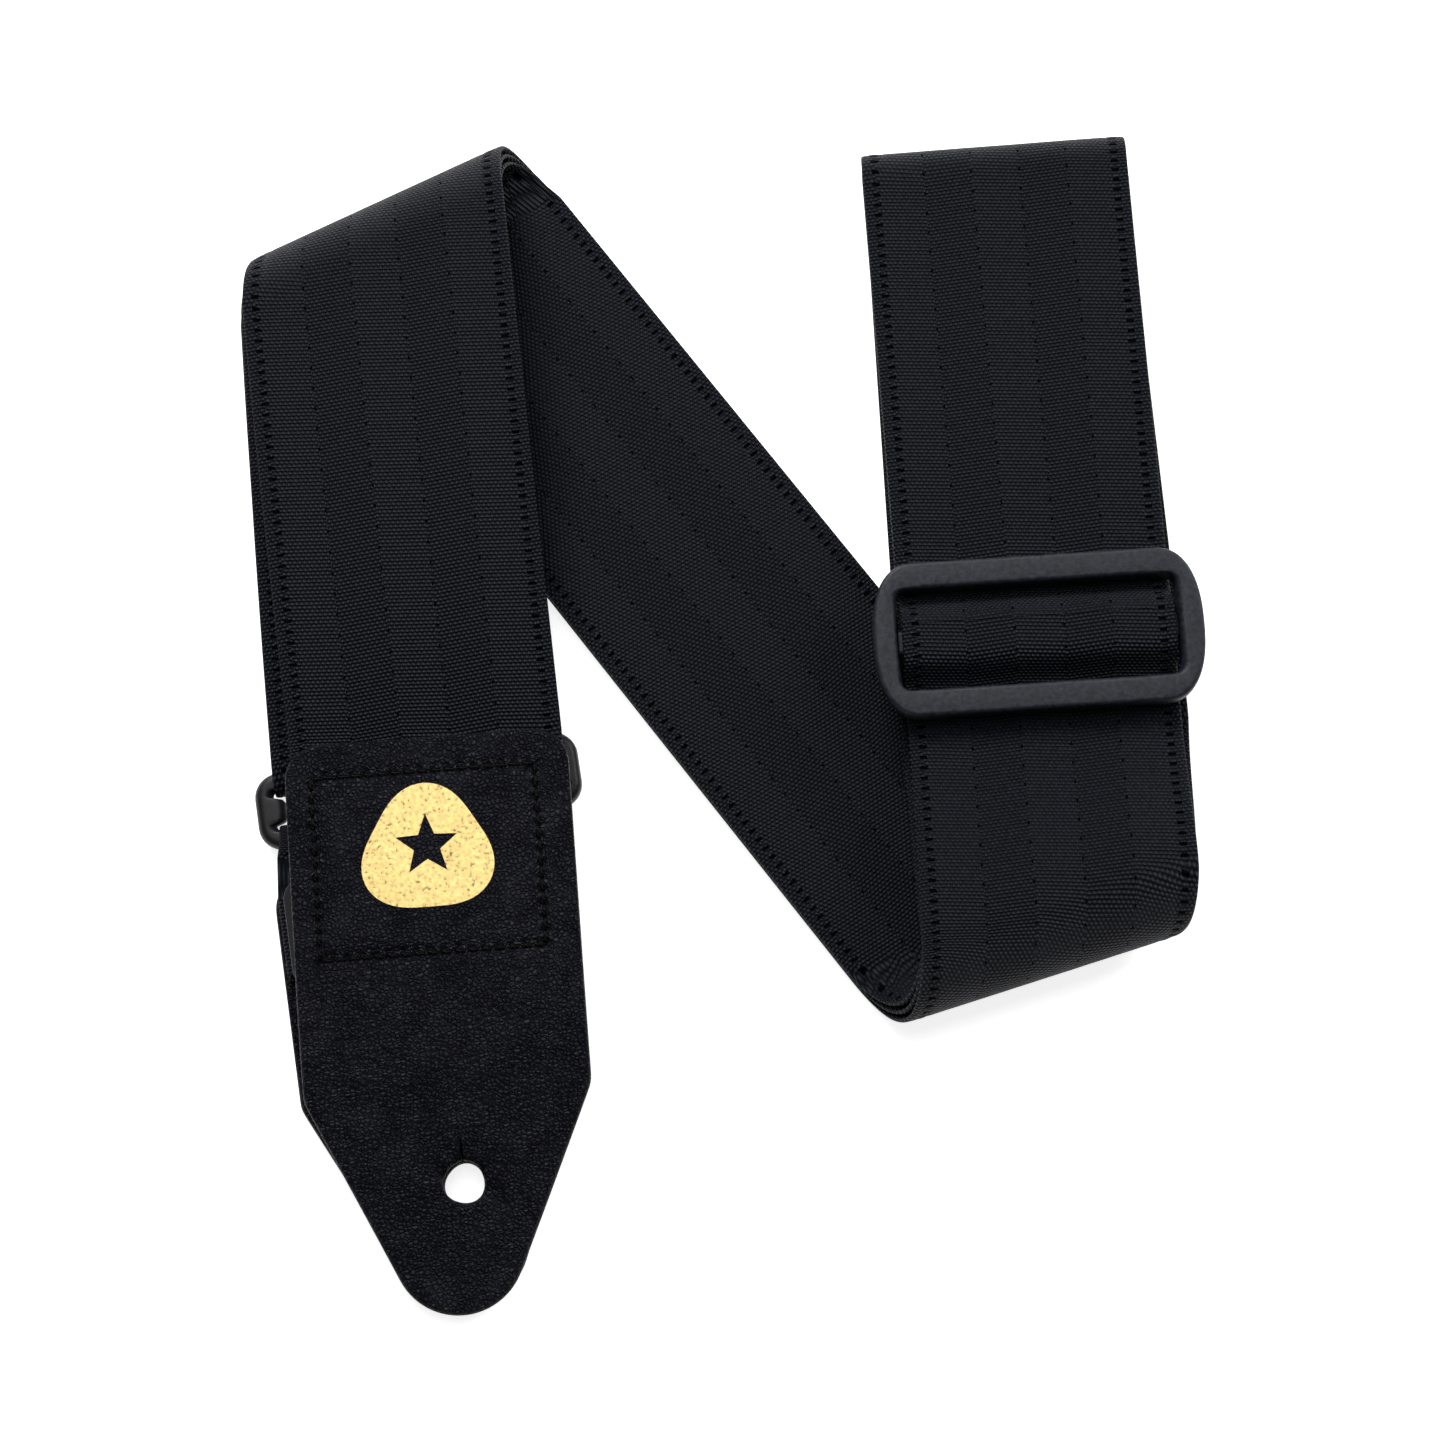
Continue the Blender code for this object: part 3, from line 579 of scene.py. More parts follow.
def woven_polyester(colour, sizes):
    """Seat-belt weave in polyester yarn: rows of short floats in five panels.

    Four lines of pinholes run along it, and a ladder of rungs along each selvedge.
    The eye sees a dull black with a faint sheen that changes from panel to panel; part of that sheen, and
    shade in the holes and gaps, is painted into the colour.
    """
    made, tree, shader = new_material("woven polyester webbing")
    uv = add(tree, "ShaderNodeUVMap", {"uv_map": "weave"})
    split = add(tree, "ShaderNodeSeparateXYZ", inputs={"Vector": uv.outputs["UV"]})
    x_mm = add(tree, "ShaderNodeMath", {"operation": "MULTIPLY"}, {0: split.outputs["X"], 1: WEB_WIDTH})
    y_mm = add(tree, "ShaderNodeMath", {"operation": "MULTIPLY"}, {0: split.outputs["Y"], 1: WEB_WIDTH})
    x, y = x_mm.outputs[0], y_mm.outputs[0]
    # Five panels: every second one is woven the other way, and its brighter look is a painted sheen in the
    # colour as well as in the gloss.
    panel = add(tree, "ShaderNodeMath", {"operation": "SINE"}, {0: add(
        tree, "ShaderNodeMath", {"operation": "MULTIPLY_ADD"},
        {0: split.outputs["X"], 1: math.pi / 0.18, 2: -0.05 * math.pi / 0.18}).outputs[0]})
    lean = add(tree, "ShaderNodeMath", {"operation": "SIGN"}, {0: panel.outputs[0]})
    shifted = add(tree, "ShaderNodeMath", {"operation": "MULTIPLY_ADD"},
                  {0: add(tree, "ShaderNodeMath", {"operation": "MULTIPLY"},
                          {0: x, 1: lean.outputs[0]}).outputs[0], 1: 0.08, 2: y})
    # Staggered floats of yarn 0.9 mm long, in rows 0.7 mm apart: about the real spacing, or just above it.
    row = add(tree, "ShaderNodeMath", {"operation": "COSINE"}, {0: add(
        tree, "ShaderNodeMath", {"operation": "MULTIPLY"},
        {0: shifted.outputs[0], 1: 2 * math.pi / 1.4}).outputs[0]})
    float_yarn = add(tree, "ShaderNodeMath", {"operation": "COSINE"}, {0: add(
        tree, "ShaderNodeMath", {"operation": "MULTIPLY"}, {0: x, 1: 2 * math.pi / 0.9}).outputs[0]})
    rib = add(tree, "ShaderNodeMath", {"operation": "COSINE"}, {0: add(
        tree, "ShaderNodeMath", {"operation": "MULTIPLY"},
        {0: shifted.outputs[0], 1: 2 * math.pi / 0.7}).outputs[0]})
    brick = add(tree, "ShaderNodeMath", {"operation": "MULTIPLY"},
                {0: row.outputs[0], 1: float_yarn.outputs[0]})
    weave = add(tree, "ShaderNodeMath", {"operation": "MULTIPLY_ADD"},
                {0: rib.outputs[0], 1: 0.7, 2: brick.outputs[0]})
    weave = add(tree, "ShaderNodeMath", {"operation": "MULTIPLY_ADD"},
                {0: lean.outputs[0], 1: 0.1, 2: weave.outputs[0]})
    yarn = add(tree, "ShaderNodeCombineXYZ", inputs={"X": x, "Y": add(
        tree, "ShaderNodeMath", {"operation": "MULTIPLY"}, {0: y, 1: 0.35}).outputs[0]})
    fuzz = add(tree, "ShaderNodeTexNoise", inputs={"Vector": yarn.outputs[0], "Scale": 1.6, "Detail": 3.0})
    holes = pinholes(tree, split.outputs["X"], y)
    slots = ladder_slots(tree, x, y, sizes)
    # Painted shade: the pinholes and the ladder's gaps are darkened in the colour, where shade falls into
    # them.
    dark = add(tree, "ShaderNodeMath", {"operation": "MAXIMUM"}, {0: holes, 1: slots})
    raised = add(tree, "ShaderNodeMath", {"operation": "MULTIPLY_ADD"},
                 {0: weave.outputs[0], 1: 0.2, 2: fuzz.outputs["Fac"]})
    # Painted sheen and shade: raised floats of yarn and every second panel are lightened in the colour and
    # the hollows between floats darkened, on top of the random fuzz.
    light = add(tree, "ShaderNodeValToRGB", inputs={"Fac": raised.outputs[0]},
                stops=[(0.1, tint(colour, 0.35)), (0.5, colour), (0.9, tint(colour, 2.6))])
    mixed = add(tree, "ShaderNodeMix", {"data_type": "RGBA"},
                {"Factor": dark.outputs[0], 6: light.outputs["Color"], 7: (*tint(colour, 0.22), 1.0)})
    tree.links.new(mixed.outputs[2], shader.inputs["Base Color"])
    relief = add(tree, "ShaderNodeMath", {"operation": "MULTIPLY_ADD"}, {0: dark.outputs[0], 1: -2.2,
                                                                         2: weave.outputs[0]})
    bump = add(tree, "ShaderNodeBump", inputs={"Height": relief.outputs[0], "Distance": 0.0002,
                                               "Strength": 0.8})
    tree.links.new(bump.outputs["Normal"], shader.inputs["Normal"])
    rough = add(tree, "ShaderNodeMapRange", inputs={"Value": fuzz.outputs["Fac"], "To Min": 0.5,
                                                    "To Max": 0.66})
    tree.links.new(rough.outputs["Result"], shader.inputs["Roughness"])
    # Only the raised yarns catch the light, and the holes and the ladder's gaps stay dull.
    shine = add(tree, "ShaderNodeMapRange", inputs={"Value": weave.outputs[0], "From Min": -1.2,
                                                    "From Max": 1.3, "To Min": 0.03, "To Max": 0.3})
    shown = add(tree, "ShaderNodeMath", {"operation": "MULTIPLY_ADD"},
                {0: dark.outputs[0], 1: -0.95, 2: 1.0})
    gloss = add(tree, "ShaderNodeMath", {"operation": "MULTIPLY"},
                {0: shine.outputs["Result"], 1: shown.outputs[0]})
    tree.links.new(gloss.outputs[0], shader.inputs["Specular IOR Level"])
    return made


def pinholes(tree, share, y):
    """Pinholes every 3.9 mm along four lines of the webbing, as a mask; shade is painted into them."""
    spacing = add(tree, "ShaderNodeMath", {"operation": "FRACT"}, {0: add(
        tree, "ShaderNodeMath", {"operation": "MULTIPLY"}, {0: y, 1: 1 / 3.9}).outputs[0]})
    dash = add(tree, "ShaderNodeMath", {"operation": "LESS_THAN"}, {0: spacing.outputs[0], 1: 0.16})
    found = None
    for line in (0.23, 0.41, 0.59, 0.77):
        near = add(tree, "ShaderNodeMath", {"operation": "COMPARE"},
                   {0: share, 1: line, 2: 0.2 / WEB_WIDTH})
        found = near.outputs[0] if found is None else add(
            tree, "ShaderNodeMath", {"operation": "ADD"}, {0: found, 1: near.outputs[0]}).outputs[0]
    return add(tree, "ShaderNodeMath", {"operation": "MULTIPLY"}, {0: found, 1: dash.outputs[0]}).outputs[0]


def ladder_slots(tree, x, y, sizes):
    """The gaps between the rungs of both ladder selvedges, as a mask; shade is painted into them."""
    inset, width = sizes.ladder_inset / MM, sizes.ladder_width / MM
    pitch = sizes.ladder_pitch / MM
    from_middle = add(tree, "ShaderNodeMath", {"operation": "ABSOLUTE"}, {0: add(
        tree, "ShaderNodeMath", {"operation": "SUBTRACT"}, {0: x, 1: WEB_WIDTH / 2}).outputs[0]})
    band = add(tree, "ShaderNodeMath", {"operation": "COMPARE"},
               {0: from_middle.outputs[0], 1: WEB_WIDTH / 2 - inset - width / 2, 2: width / 2 - 0.3})
    wave = add(tree, "ShaderNodeMath", {"operation": "COSINE"}, {0: add(
        tree, "ShaderNodeMath", {"operation": "MULTIPLY"}, {0: y, 1: 2 * math.pi / pitch}).outputs[0]})
    gap = add(tree, "ShaderNodeMapRange",
              inputs={"Value": wave.outputs[0], "From Min": -0.45, "From Max": -0.8})
    return add(tree, "ShaderNodeMath", {"operation": "MULTIPLY"},
               {0: band.outputs[0], 1: gap.outputs["Result"]}).outputs[0]


def grain_leather(colour):
    """Chrome-tanned leather with a finished grain face: fine pebbles, a few creases, a soft satin gloss and
    a painted highlight on the rounded rim.
    """
    made, tree, shader = new_material("finished grain leather")
    at = add(tree, "ShaderNodeTexCoord").outputs["Object"]
    # Pebbles of 0.55 mm, drawn at 0.8 mm so that they show.
    pebble = add(tree, "ShaderNodeTexVoronoi", {"feature": "DISTANCE_TO_EDGE"},
                 {"Vector": at, "Scale": 1250.0})
    crease = add(tree, "ShaderNodeTexNoise", inputs={"Vector": at, "Scale": 130.0, "Detail": 6.0,
                                                     "Roughness": 0.65, "Distortion": 0.9})
    pore = add(tree, "ShaderNodeTexNoise", inputs={"Vector": at, "Scale": 900.0, "Detail": 4.0})
    cell = add(tree, "ShaderNodeMapRange", inputs={"Value": pebble.outputs["Distance"], "From Max": 0.28})
    height = add(tree, "ShaderNodeMath", {"operation": "MULTIPLY_ADD"},
                 {0: crease.outputs["Fac"], 1: 2.4, 2: cell.outputs["Result"]})
    height = add(tree, "ShaderNodeMath", {"operation": "MULTIPLY_ADD"},
                 {0: pore.outputs["Fac"], 1: 0.8, 2: height.outputs[0]})
    height = add(tree, "ShaderNodeMath", {"operation": "ADD"},
                 {0: height.outputs[0], 1: needle_puckers(tree)})
    bump = add(tree, "ShaderNodeBump", inputs={"Height": height.outputs[0], "Distance": 0.00022,
                                               "Strength": 0.85})
    tree.links.new(bump.outputs["Normal"], shader.inputs["Normal"])
    shade = add(tree, "ShaderNodeValToRGB", inputs={"Fac": crease.outputs["Fac"]},
                stops=[(0.3, tint(colour, 0.7)), (0.52, colour), (0.75, tint(colour, 1.5))])
    # Painted highlight: the rounded rim, found by its pointiness, is lightened in the colour as if lit from
    # above.
    highlight_pointiness = add(tree, "ShaderNodeNewGeometry").outputs["Pointiness"]
    rim = add(tree, "ShaderNodeMapRange", inputs={"Value": highlight_pointiness, "From Min": 0.52, "From Max": 0.6})
    mixed = add(tree, "ShaderNodeMix", {"data_type": "RGBA"},
                {"Factor": rim.outputs["Result"], 6: shade.outputs["Color"], 7: (*tint(colour, 1.6), 1.0)})
    tree.links.new(mixed.outputs[2], shader.inputs["Base Color"])
    rough = add(tree, "ShaderNodeMapRange", inputs={"Value": crease.outputs["Fac"], "From Min": 0.3,
                                                    "From Max": 0.7, "To Min": 0.4, "To Max": 0.54})
    tree.links.new(rough.outputs["Result"], shader.inputs["Roughness"])
    gloss = add(tree, "ShaderNodeMapRange", inputs={"Value": height.outputs[0], "From Min": 1.6,
                                                    "From Max": 3.0, "To Min": 0.05, "To Max": 0.2})
    tree.links.new(gloss.outputs["Result"], shader.inputs["Specular IOR Level"])
    return made


def needle_puckers(tree):
    """Leather drawn up between the needle holes, in a band on both sides of the stitched box."""
    sizes = bpy.context.scene.strap_sizes
    across = add(tree, "ShaderNodeAttribute", {"attribute_name": "from_seam"})
    along = add(tree, "ShaderNodeAttribute", {"attribute_name": "along_seam"})
    beat = add(tree, "ShaderNodeMath", {"operation": "SINE"}, {0: add(
        tree, "ShaderNodeMath", {"operation": "MULTIPLY"},
        {0: along.outputs["Fac"], 1: 2 * math.pi * MM / sizes.stitch_pitch}).outputs[0]})
    band = add(tree, "ShaderNodeMapRange", inputs={"Value": add(
        tree, "ShaderNodeMath", {"operation": "ABSOLUTE"}, {0: across.outputs["Fac"]}).outputs[0],
        "From Min": 0.3, "From Max": 1.4, "To Min": 1.1, "To Max": 0.0})
    return add(tree, "ShaderNodeMath", {"operation": "MULTIPLY"},
               {0: beat.outputs[0], 1: band.outputs["Result"]}).outputs[0]


def split_suede(colour):
    """Split leather with a short nap: matte, blotchy, no gloss."""
    made, tree, shader = new_material("split suede")
    at = add(tree, "ShaderNodeTexCoord").outputs["Object"]
    nap = add(tree, "ShaderNodeTexNoise", inputs={"Vector": at, "Scale": 1600.0, "Detail": 5.0})
    blotch = add(tree, "ShaderNodeTexNoise", inputs={"Vector": at, "Scale": 120.0, "Detail": 3.0})
    shade = add(tree, "ShaderNodeValToRGB", inputs={"Fac": blotch.outputs["Fac"]},
                stops=[(0.3, tint(colour, 0.75)), (0.7, tint(colour, 1.3))])
    tree.links.new(shade.outputs["Color"], shader.inputs["Base Color"])
    bump = add(tree, "ShaderNodeBump", inputs={"Height": nap.outputs["Fac"], "Distance": 0.0002,
                                               "Strength": 0.6})
    tree.links.new(bump.outputs["Normal"], shader.inputs["Normal"])
    shader.inputs["Roughness"].default_value = 0.92
    shader.inputs["Sheen Weight"].default_value = 0.2
    return made


def moulded_acetal(name, colour, grit_mm, depth, roughness):
    """Moulded acetal from an eroded tool: an even fine texture that spreads the highlight."""
    made, tree, shader = new_material(name)
    at = add(tree, "ShaderNodeTexCoord").outputs["Object"]
    grit = add(tree, "ShaderNodeTexNoise",
               inputs={"Vector": at, "Scale": 1000.0 / grit_mm / 2, "Detail": 3.0, "Roughness": 0.6})
    flow = add(tree, "ShaderNodeTexNoise", inputs={"Vector": at, "Scale": 60.0, "Detail": 2.0})
    shade = add(tree, "ShaderNodeValToRGB", inputs={"Fac": grit.outputs["Fac"]},
                stops=[(0.34, tint(colour, 0.5)), (0.66, tint(colour, 1.8))])
    tree.links.new(shade.outputs["Color"], shader.inputs["Base Color"])
    bump = add(tree, "ShaderNodeBump", inputs={"Height": grit.outputs["Fac"], "Distance": depth,
                                               "Strength": 0.5})
    tree.links.new(bump.outputs["Normal"], shader.inputs["Normal"])
    rough = add(tree, "ShaderNodeMapRange", inputs={"Value": flow.outputs["Fac"], "To Min": roughness - 0.05,
                                                    "To Max": roughness + 0.08})
    tree.links.new(rough.outputs["Result"], shader.inputs["Roughness"])
    shader.inputs["Specular IOR Level"].default_value = 0.3
    return made


def waxed_thread(colour):
    """Twisted nylon thread, waxed: a low sheen broken by the twist."""
    made, tree, shader = new_material("waxed nylon thread")
    at = add(tree, "ShaderNodeTexCoord").outputs["Object"]
    twist = add(tree, "ShaderNodeTexWave", {"bands_direction": "DIAGONAL"},
                {"Vector": at, "Scale": 700.0, "Distortion": 1.0})
    shade = add(tree, "ShaderNodeValToRGB", inputs={"Fac": twist.outputs["Fac"]},
                stops=[(0.2, tint(colour, 0.6)), (0.8, tint(colour, 1.8))])
    tree.links.new(shade.outputs["Color"], shader.inputs["Base Color"])
    bump = add(tree, "ShaderNodeBump", inputs={"Height": twist.outputs["Fac"], "Distance": 0.00008})
    tree.links.new(bump.outputs["Normal"], shader.inputs["Normal"])
    shader.inputs["Roughness"].default_value = 0.5
    shader.inputs["Specular IOR Level"].default_value = 0.12
    return made


def stamped_foil(colour):
    """Hot-stamped metallised foil: bright and slightly broken where the grain stood proud of the die."""
    made, tree, shader = new_material("hot-stamped foil")
    at = add(tree, "ShaderNodeTexCoord").outputs["Object"]
    speck = add(tree, "ShaderNodeTexNoise", inputs={"Vector": at, "Scale": 1500.0, "Detail": 4.0})
    sweep = add(tree, "ShaderNodeTexNoise", inputs={"Vector": at, "Scale": 140.0, "Detail": 2.0})
    shade = add(tree, "ShaderNodeValToRGB", inputs={"Fac": speck.outputs["Fac"]},
                stops=[(0.3, tint(colour, 0.2)), (0.38, tint(colour, 0.85)), (0.7, tint(colour, 1.25))])
    tree.links.new(shade.outputs["Color"], shader.inputs["Base Color"])
    rough = add(tree, "ShaderNodeMapRange",
                inputs={"Value": sweep.outputs["Fac"], "To Min": 0.3, "To Max": 0.5})
    tree.links.new(rough.outputs["Result"], shader.inputs["Roughness"])
    bump = add(tree, "ShaderNodeBump", inputs={"Height": speck.outputs["Fac"], "Distance": 0.00006})
    tree.links.new(bump.outputs["Normal"], shader.inputs["Normal"])
    shader.inputs["Metallic"].default_value = 0.35
    return made


def painted_floor(colour):
    """A pale seamless studio floor in matt paint."""
    made, tree, shader = new_material("matt studio floor")
    at = add(tree, "ShaderNodeTexCoord").outputs["Object"]
    mottle = add(tree, "ShaderNodeTexNoise", inputs={"Vector": at, "Scale": 3.0, "Detail": 2.0})
    shade = add(tree, "ShaderNodeValToRGB", inputs={"Fac": mottle.outputs["Fac"]},
                stops=[(0.3, tint(colour, 0.985)), (0.7, colour)])
    tree.links.new(shade.outputs["Color"], shader.inputs["Base Color"])
    shader.inputs["Roughness"].default_value = 0.9
    shader.inputs["Specular IOR Level"].default_value = 0.1
    # A light table below the sheet: it whitens the floor and what shows through the button hole.
    shader.inputs["Emission Color"].default_value = (1.0, 1.0, 1.0, 1.0)
    shader.inputs["Emission Strength"].default_value = 0.8
    return made


def finish_named(name):
    """A finish of the strap, made once from the scene's sizes and colours."""
    found = bpy.data.materials.get(name)
    if found:
        return found
    colours, sizes = bpy.context.scene.strap_colours, bpy.context.scene.strap_sizes
    makers = {
        "woven polyester webbing": lambda: woven_polyester(tuple(colours.webbing), sizes),
        "finished grain leather": lambda: grain_leather(tuple(colours.leather)),
        "split suede": lambda: split_suede(tuple(colours.suede)),
        "textured acetal": lambda: moulded_acetal(
            "textured acetal", tuple(colours.slider), 0.45, 0.00016, 0.5),
        "satin acetal": lambda: moulded_acetal("satin acetal", tuple(colours.ring), 0.3, 0.00005, 0.42),
        "waxed nylon thread": lambda: waxed_thread(tuple(colours.thread)),
        "hot-stamped foil": lambda: stamped_foil(tuple(colours.foil)),
        "matt studio floor": lambda: painted_floor(tuple(colours.floor)),
    }
    return makers[name]()


# ---------------------------------------------------------------- pieces


def half_width(v, length):
    """Half the width of a leather end at v: rounded top corners, taper and rounded tip."""
    shoulder = LEATHER_SHOULDER - (LEATHER_LENGTH - length)
    tip = length - LEATHER_TIP_RADIUS
    taper = math.atan2(LEATHER_HALF_WIDTH - LEATHER_TIP_RADIUS * 0.91, tip + 5.0 - shoulder)
    tangent = tip + LEATHER_TIP_RADIUS * math.sin(taper)
    if v < LEATHER_CORNER:
        inset = LEATHER_CORNER - v
        return LEATHER_HALF_WIDTH - LEATHER_CORNER + math.sqrt(LEATHER_CORNER**2 - inset**2)
    if v <= shoulder:
        return LEATHER_HALF_WIDTH
    if v < tangent:
        return LEATHER_HALF_WIDTH - (v - shoulder) * math.tan(taper)
    return math.sqrt(max(LEATHER_TIP_RADIUS**2 - (v - tip) ** 2, 0.0))


def leather_outline(length, count):
    """Evenly spaced points round a leather end, with the shoulders softened."""
    levels = np.concatenate((LEATHER_CORNER * (1 - np.cos(np.linspace(0, math.pi / 2, 16))),
                             np.linspace(LEATHER_CORNER, length - 4.0, 160)[1:],
                             length - 4.0 + 4.0 * np.sin(np.linspace(0, math.pi / 2, 20))[1:]))
    right = np.array([(half_width(v, length), v) for v in levels])
    closed = np.concatenate((right, (right * (-1, 1))[::-1]))
    closed = np.concatenate((closed, closed[:1]))
    lengths = np.concatenate(([0.0], np.cumsum(np.linalg.norm(np.diff(closed, axis=0), axis=1))))
    even = np.linspace(0.0, lengths[-1], count, endpoint=False)
    points = np.stack([np.interp(even, lengths, closed[:, axis]) for axis in (0, 1)], axis=1)
    for _ in range(3):
        points = (np.roll(points, 1, axis=0) + 2 * points + np.roll(points, -1, axis=0)) / 4
    return points


def box_distance(u, v, centre, size):
    """Signed distance from the line of a stitched box, below 0 inside it."""
    du = np.abs(u - centre[0]) - size[0] / 2
    dv = np.abs(v - centre[1]) - size[1] / 2
    outside = np.hypot(np.maximum(du, 0), np.maximum(dv, 0))
    return outside + np.minimum(np.maximum(du, dv), 0)


def leather_relief(u, v, box):
    """Height of the sewn groove and of the padded field inside it."""
    distance = box_distance(u, v, *box)
    return 0.3 * smooth(-distance / 3.0) - 0.4 * np.exp(-((distance / 0.75) ** 2))


def leather_end(name, top, tilt, length, hole_v, level_at, box, up, slit_length, finish):
    """A leather end as rings of points from its button hole to its rounded rim, on both faces.

    The face whose side is up carries the sewn relief, and none does where up is 0.
    """
    outline = leather_outline(length, 400)
    hole = np.array((HOLE_U, hole_v))
    rays = outline - hole
    reach = np.linalg.norm(rays, axis=1)
    heading = rays / reach[:, None]
    angle = np.arctan2(heading[:, 0], -heading[:, 1])
    slit = np.sqrt(np.clip(1 - np.abs(angle) / math.radians(2.2), 0, 1))
    rim = HOLE_RADIUS * (1 + 0.035 * np.sin(3 * angle + 0.7)) + slit_length * slit
    near = [0.0, 0.15, 0.45, 0.9, 1.5, 2.3, 3.3, 4.5, 6.0]
    shares = np.linspace(0.0, 1.0, 80)[1:]
    insets = [1.5, 1.05, 0.65, 0.32, 0.1, 0.0]
    spans = [rim + d for d in near]
    start, end = rim + near[-1], reach - 2.0
    spans += [start + (end - start) * share for share in shares]
    spans += [reach - inset for inset in insets]

    def face(side):
        layers = []
        for span in spans:
            flat = hole + heading * span[:, None]
            u, v = flat[:, 0], flat[:, 1]
            from_hole = span - rim
            from_edge = reach - span
            round_off = 1 - np.sqrt(np.clip(1 - (1 - np.clip(from_edge / 0.9, 0, 1)) ** 2, 0, 1))
            lip = 1 - np.sqrt(np.clip(1 - (1 - np.clip(from_hole / 0.8, 0, 1)) ** 2, 0, 1))
            half = LEATHER_THICK / 2 * (1 - 0.96 * np.maximum(round_off, lip))
            pucker = np.exp(-from_hole / 2.1) * (0.42 * np.cos(8 * angle + 1.1 * np.sin(2 * angle)) + 0.2)
            pucker *= smooth(from_hole / 0.9)
            level = level_at(v) + LEATHER_THICK / 2
            height = half + (leather_relief(u, v, box) + pucker if side == up else 0.0)
            xy = np.array([leather_point(top, tilt, a, b) for a, b in zip(u, v)])
            layers.append(np.column_stack((xy, level + side * height)))
        return layers

    layers = face(1) + face(-1)[::-1]
    count = len(outline)
    obj = mesh_object(name, place(np.concatenate(layers)), quads(len(layers), count, closed=True), finish)
    mark_seam(obj, np.concatenate([hole + heading * span[:, None] for span in spans + spans[::-1]]), box)
    close_and_turn_out(obj)
    obj.data.shade_smooth()
    return obj


def mark_seam(obj, flat, box):
    """Stores each point's distance from the stitched box and its place along the nearest side, in mm."""
    centre, size = box
    distance = box_distance(flat[:, 0], flat[:, 1], centre, size)
    beside = np.abs(flat[:, 0] - centre[0]) / size[0] > np.abs(flat[:, 1] - centre[1]) / size[1]
    along = np.where(beside, flat[:, 1] - centre[1], flat[:, 0] - centre[0])
    for name, values in (("from_seam", distance), ("along_seam", along)):
        layer = obj.data.attributes.new(name, "FLOAT", "POINT")
        layer.data.foreach_set("value", values.astype(np.float32))


def close_and_turn_out(obj):
    """Merges doubles and points every face outwards."""
    select_only(obj)
    bpy.ops.object.mode_set(mode="EDIT")
    bpy.ops.mesh.select_all(action="SELECT")
    bpy.ops.mesh.remove_doubles(threshold=1e-7)
    bpy.ops.mesh.normals_make_consistent(inside=False)
    bpy.ops.object.mode_set(mode="OBJECT")


def rounded_outline(width, height, corner, steps=8):
    """Points of a rounded rectangle, anticlockwise."""
    points = []
    for side, above, start in ((1, -1, -90), (1, 1, 0), (-1, 1, 90), (-1, -1, 180)):
        centre = np.array((side * (width / 2 - corner), above * (height / 2 - corner)))
        points += [centre + unit(start + 90 * i / steps) * corner for i in range(steps + 1)]
    return points


def bowed_outline(width, height, depth, power, steps=36):
    """Points of a flat-topped shape whose two ends are half superellipses, anticlockwise."""
    points = []
    for side in (1, -1):
        for i in range(steps + 1):
            angle = math.pi * (i / steps - 0.5)
            across = depth * abs(math.cos(angle)) ** (2 / power)
            up = height / 2 * math.copysign(abs(math.sin(angle)) ** (2 / power), angle)
            points.append(side * np.array((width / 2 - depth + across, up)))
    return points


def plate(name, outlines, thickness, middle, base, tilt, radius, finish):
    """A flat piece from closed outlines: extruded, its edges rounded, then laid in place."""
    data = bpy.data.curves.new(name, "CURVE")
    data.dimensions = "2D"
    data.fill_mode = "BOTH"
    data.extrude = thickness / 2 * MM
    for outline in outlines:
        spline = data.splines.new("POLY")
        spline.points.add(len(outline) - 1)
        for point, xy in zip(spline.points, outline):
            point.co = (xy[0] * MM, xy[1] * MM, 0.0, 1.0)
        spline.use_cyclic_u = True
    obj = bpy.data.objects.new(name, data)
    bpy.context.scene.collection.objects.link(obj)
    select_only(obj)
    bpy.ops.object.convert(target="MESH")
    obj = bpy.context.object
    close_and_turn_out(obj)
    if radius:
        rounding = obj.modifiers.new("rounded edges", "BEVEL")
        rounding.width = radius
        rounding.segments = 4
        rounding.limit_method = "ANGLE"
        rounding.angle_limit = math.radians(50)
        rounding.use_clamp_overlap = False
        bpy.ops.object.modifier_apply(modifier=rounding.name)
    lay_in_place(obj, middle, base + thickness / 2, tilt)
    obj.data.materials.clear()
    obj.data.materials.append(finish)
    return obj


def spokes(outline, angles):
    """Where rays from the centre at the given angles meet a closed outline."""
    points = np.array(outline)
    around = np.arctan2(points[:, 1], points[:, 0])
    order = np.argsort(around)
    around, reach = around[order], np.linalg.norm(points[order], axis=1)
    x = np.interp(angles, around, reach * np.cos(around), period=2 * math.pi)
    y = np.interp(angles, around, reach * np.sin(around), period=2 * math.pi)
    return np.column_stack((x, y))


def moulding(name, outer, above, below, thickness, radius, middle, base, tilt, finish):
    """A frame swept as one rounded section between an outer outline and its opening, above and below."""
    corners = np.array(list(outer) + list(above))
    angles = np.unique(np.round(np.arctan2(corners[:, 1], corners[:, 0]), 4))
    rim, top, bottom = (spokes(outline, angles) for outline in (outer, above, below))
    across = (rim - top) / np.linalg.norm(rim - top, axis=1)[:, None]
    loops = []
    for at_rim, start, level in ((0, 180, radius), (1, 270, radius), (1, 0, thickness - radius),
                                 (0, 90, thickness - radius)):
        for i in range(7):
            turn = unit(start + 90 * i / 6)
            height = level + radius * turn[1]
            inner = bottom + (top - bottom) * height / thickness
            edge = rim - across * radius if at_rim else inner + across * radius
            loops.append(np.column_stack((edge + across * radius * turn[0], np.full(len(rim), height))))
    count = len(angles)
    faces = quads(len(loops), count, closed=True)
    points = (np.concatenate(loops) - (0, 0, thickness / 2)) * MM
    obj = mesh_object(name, points, faces, finish)
    close_and_turn_out(obj)
    lay_in_place(obj, middle, base + thickness / 2, tilt)
    return obj


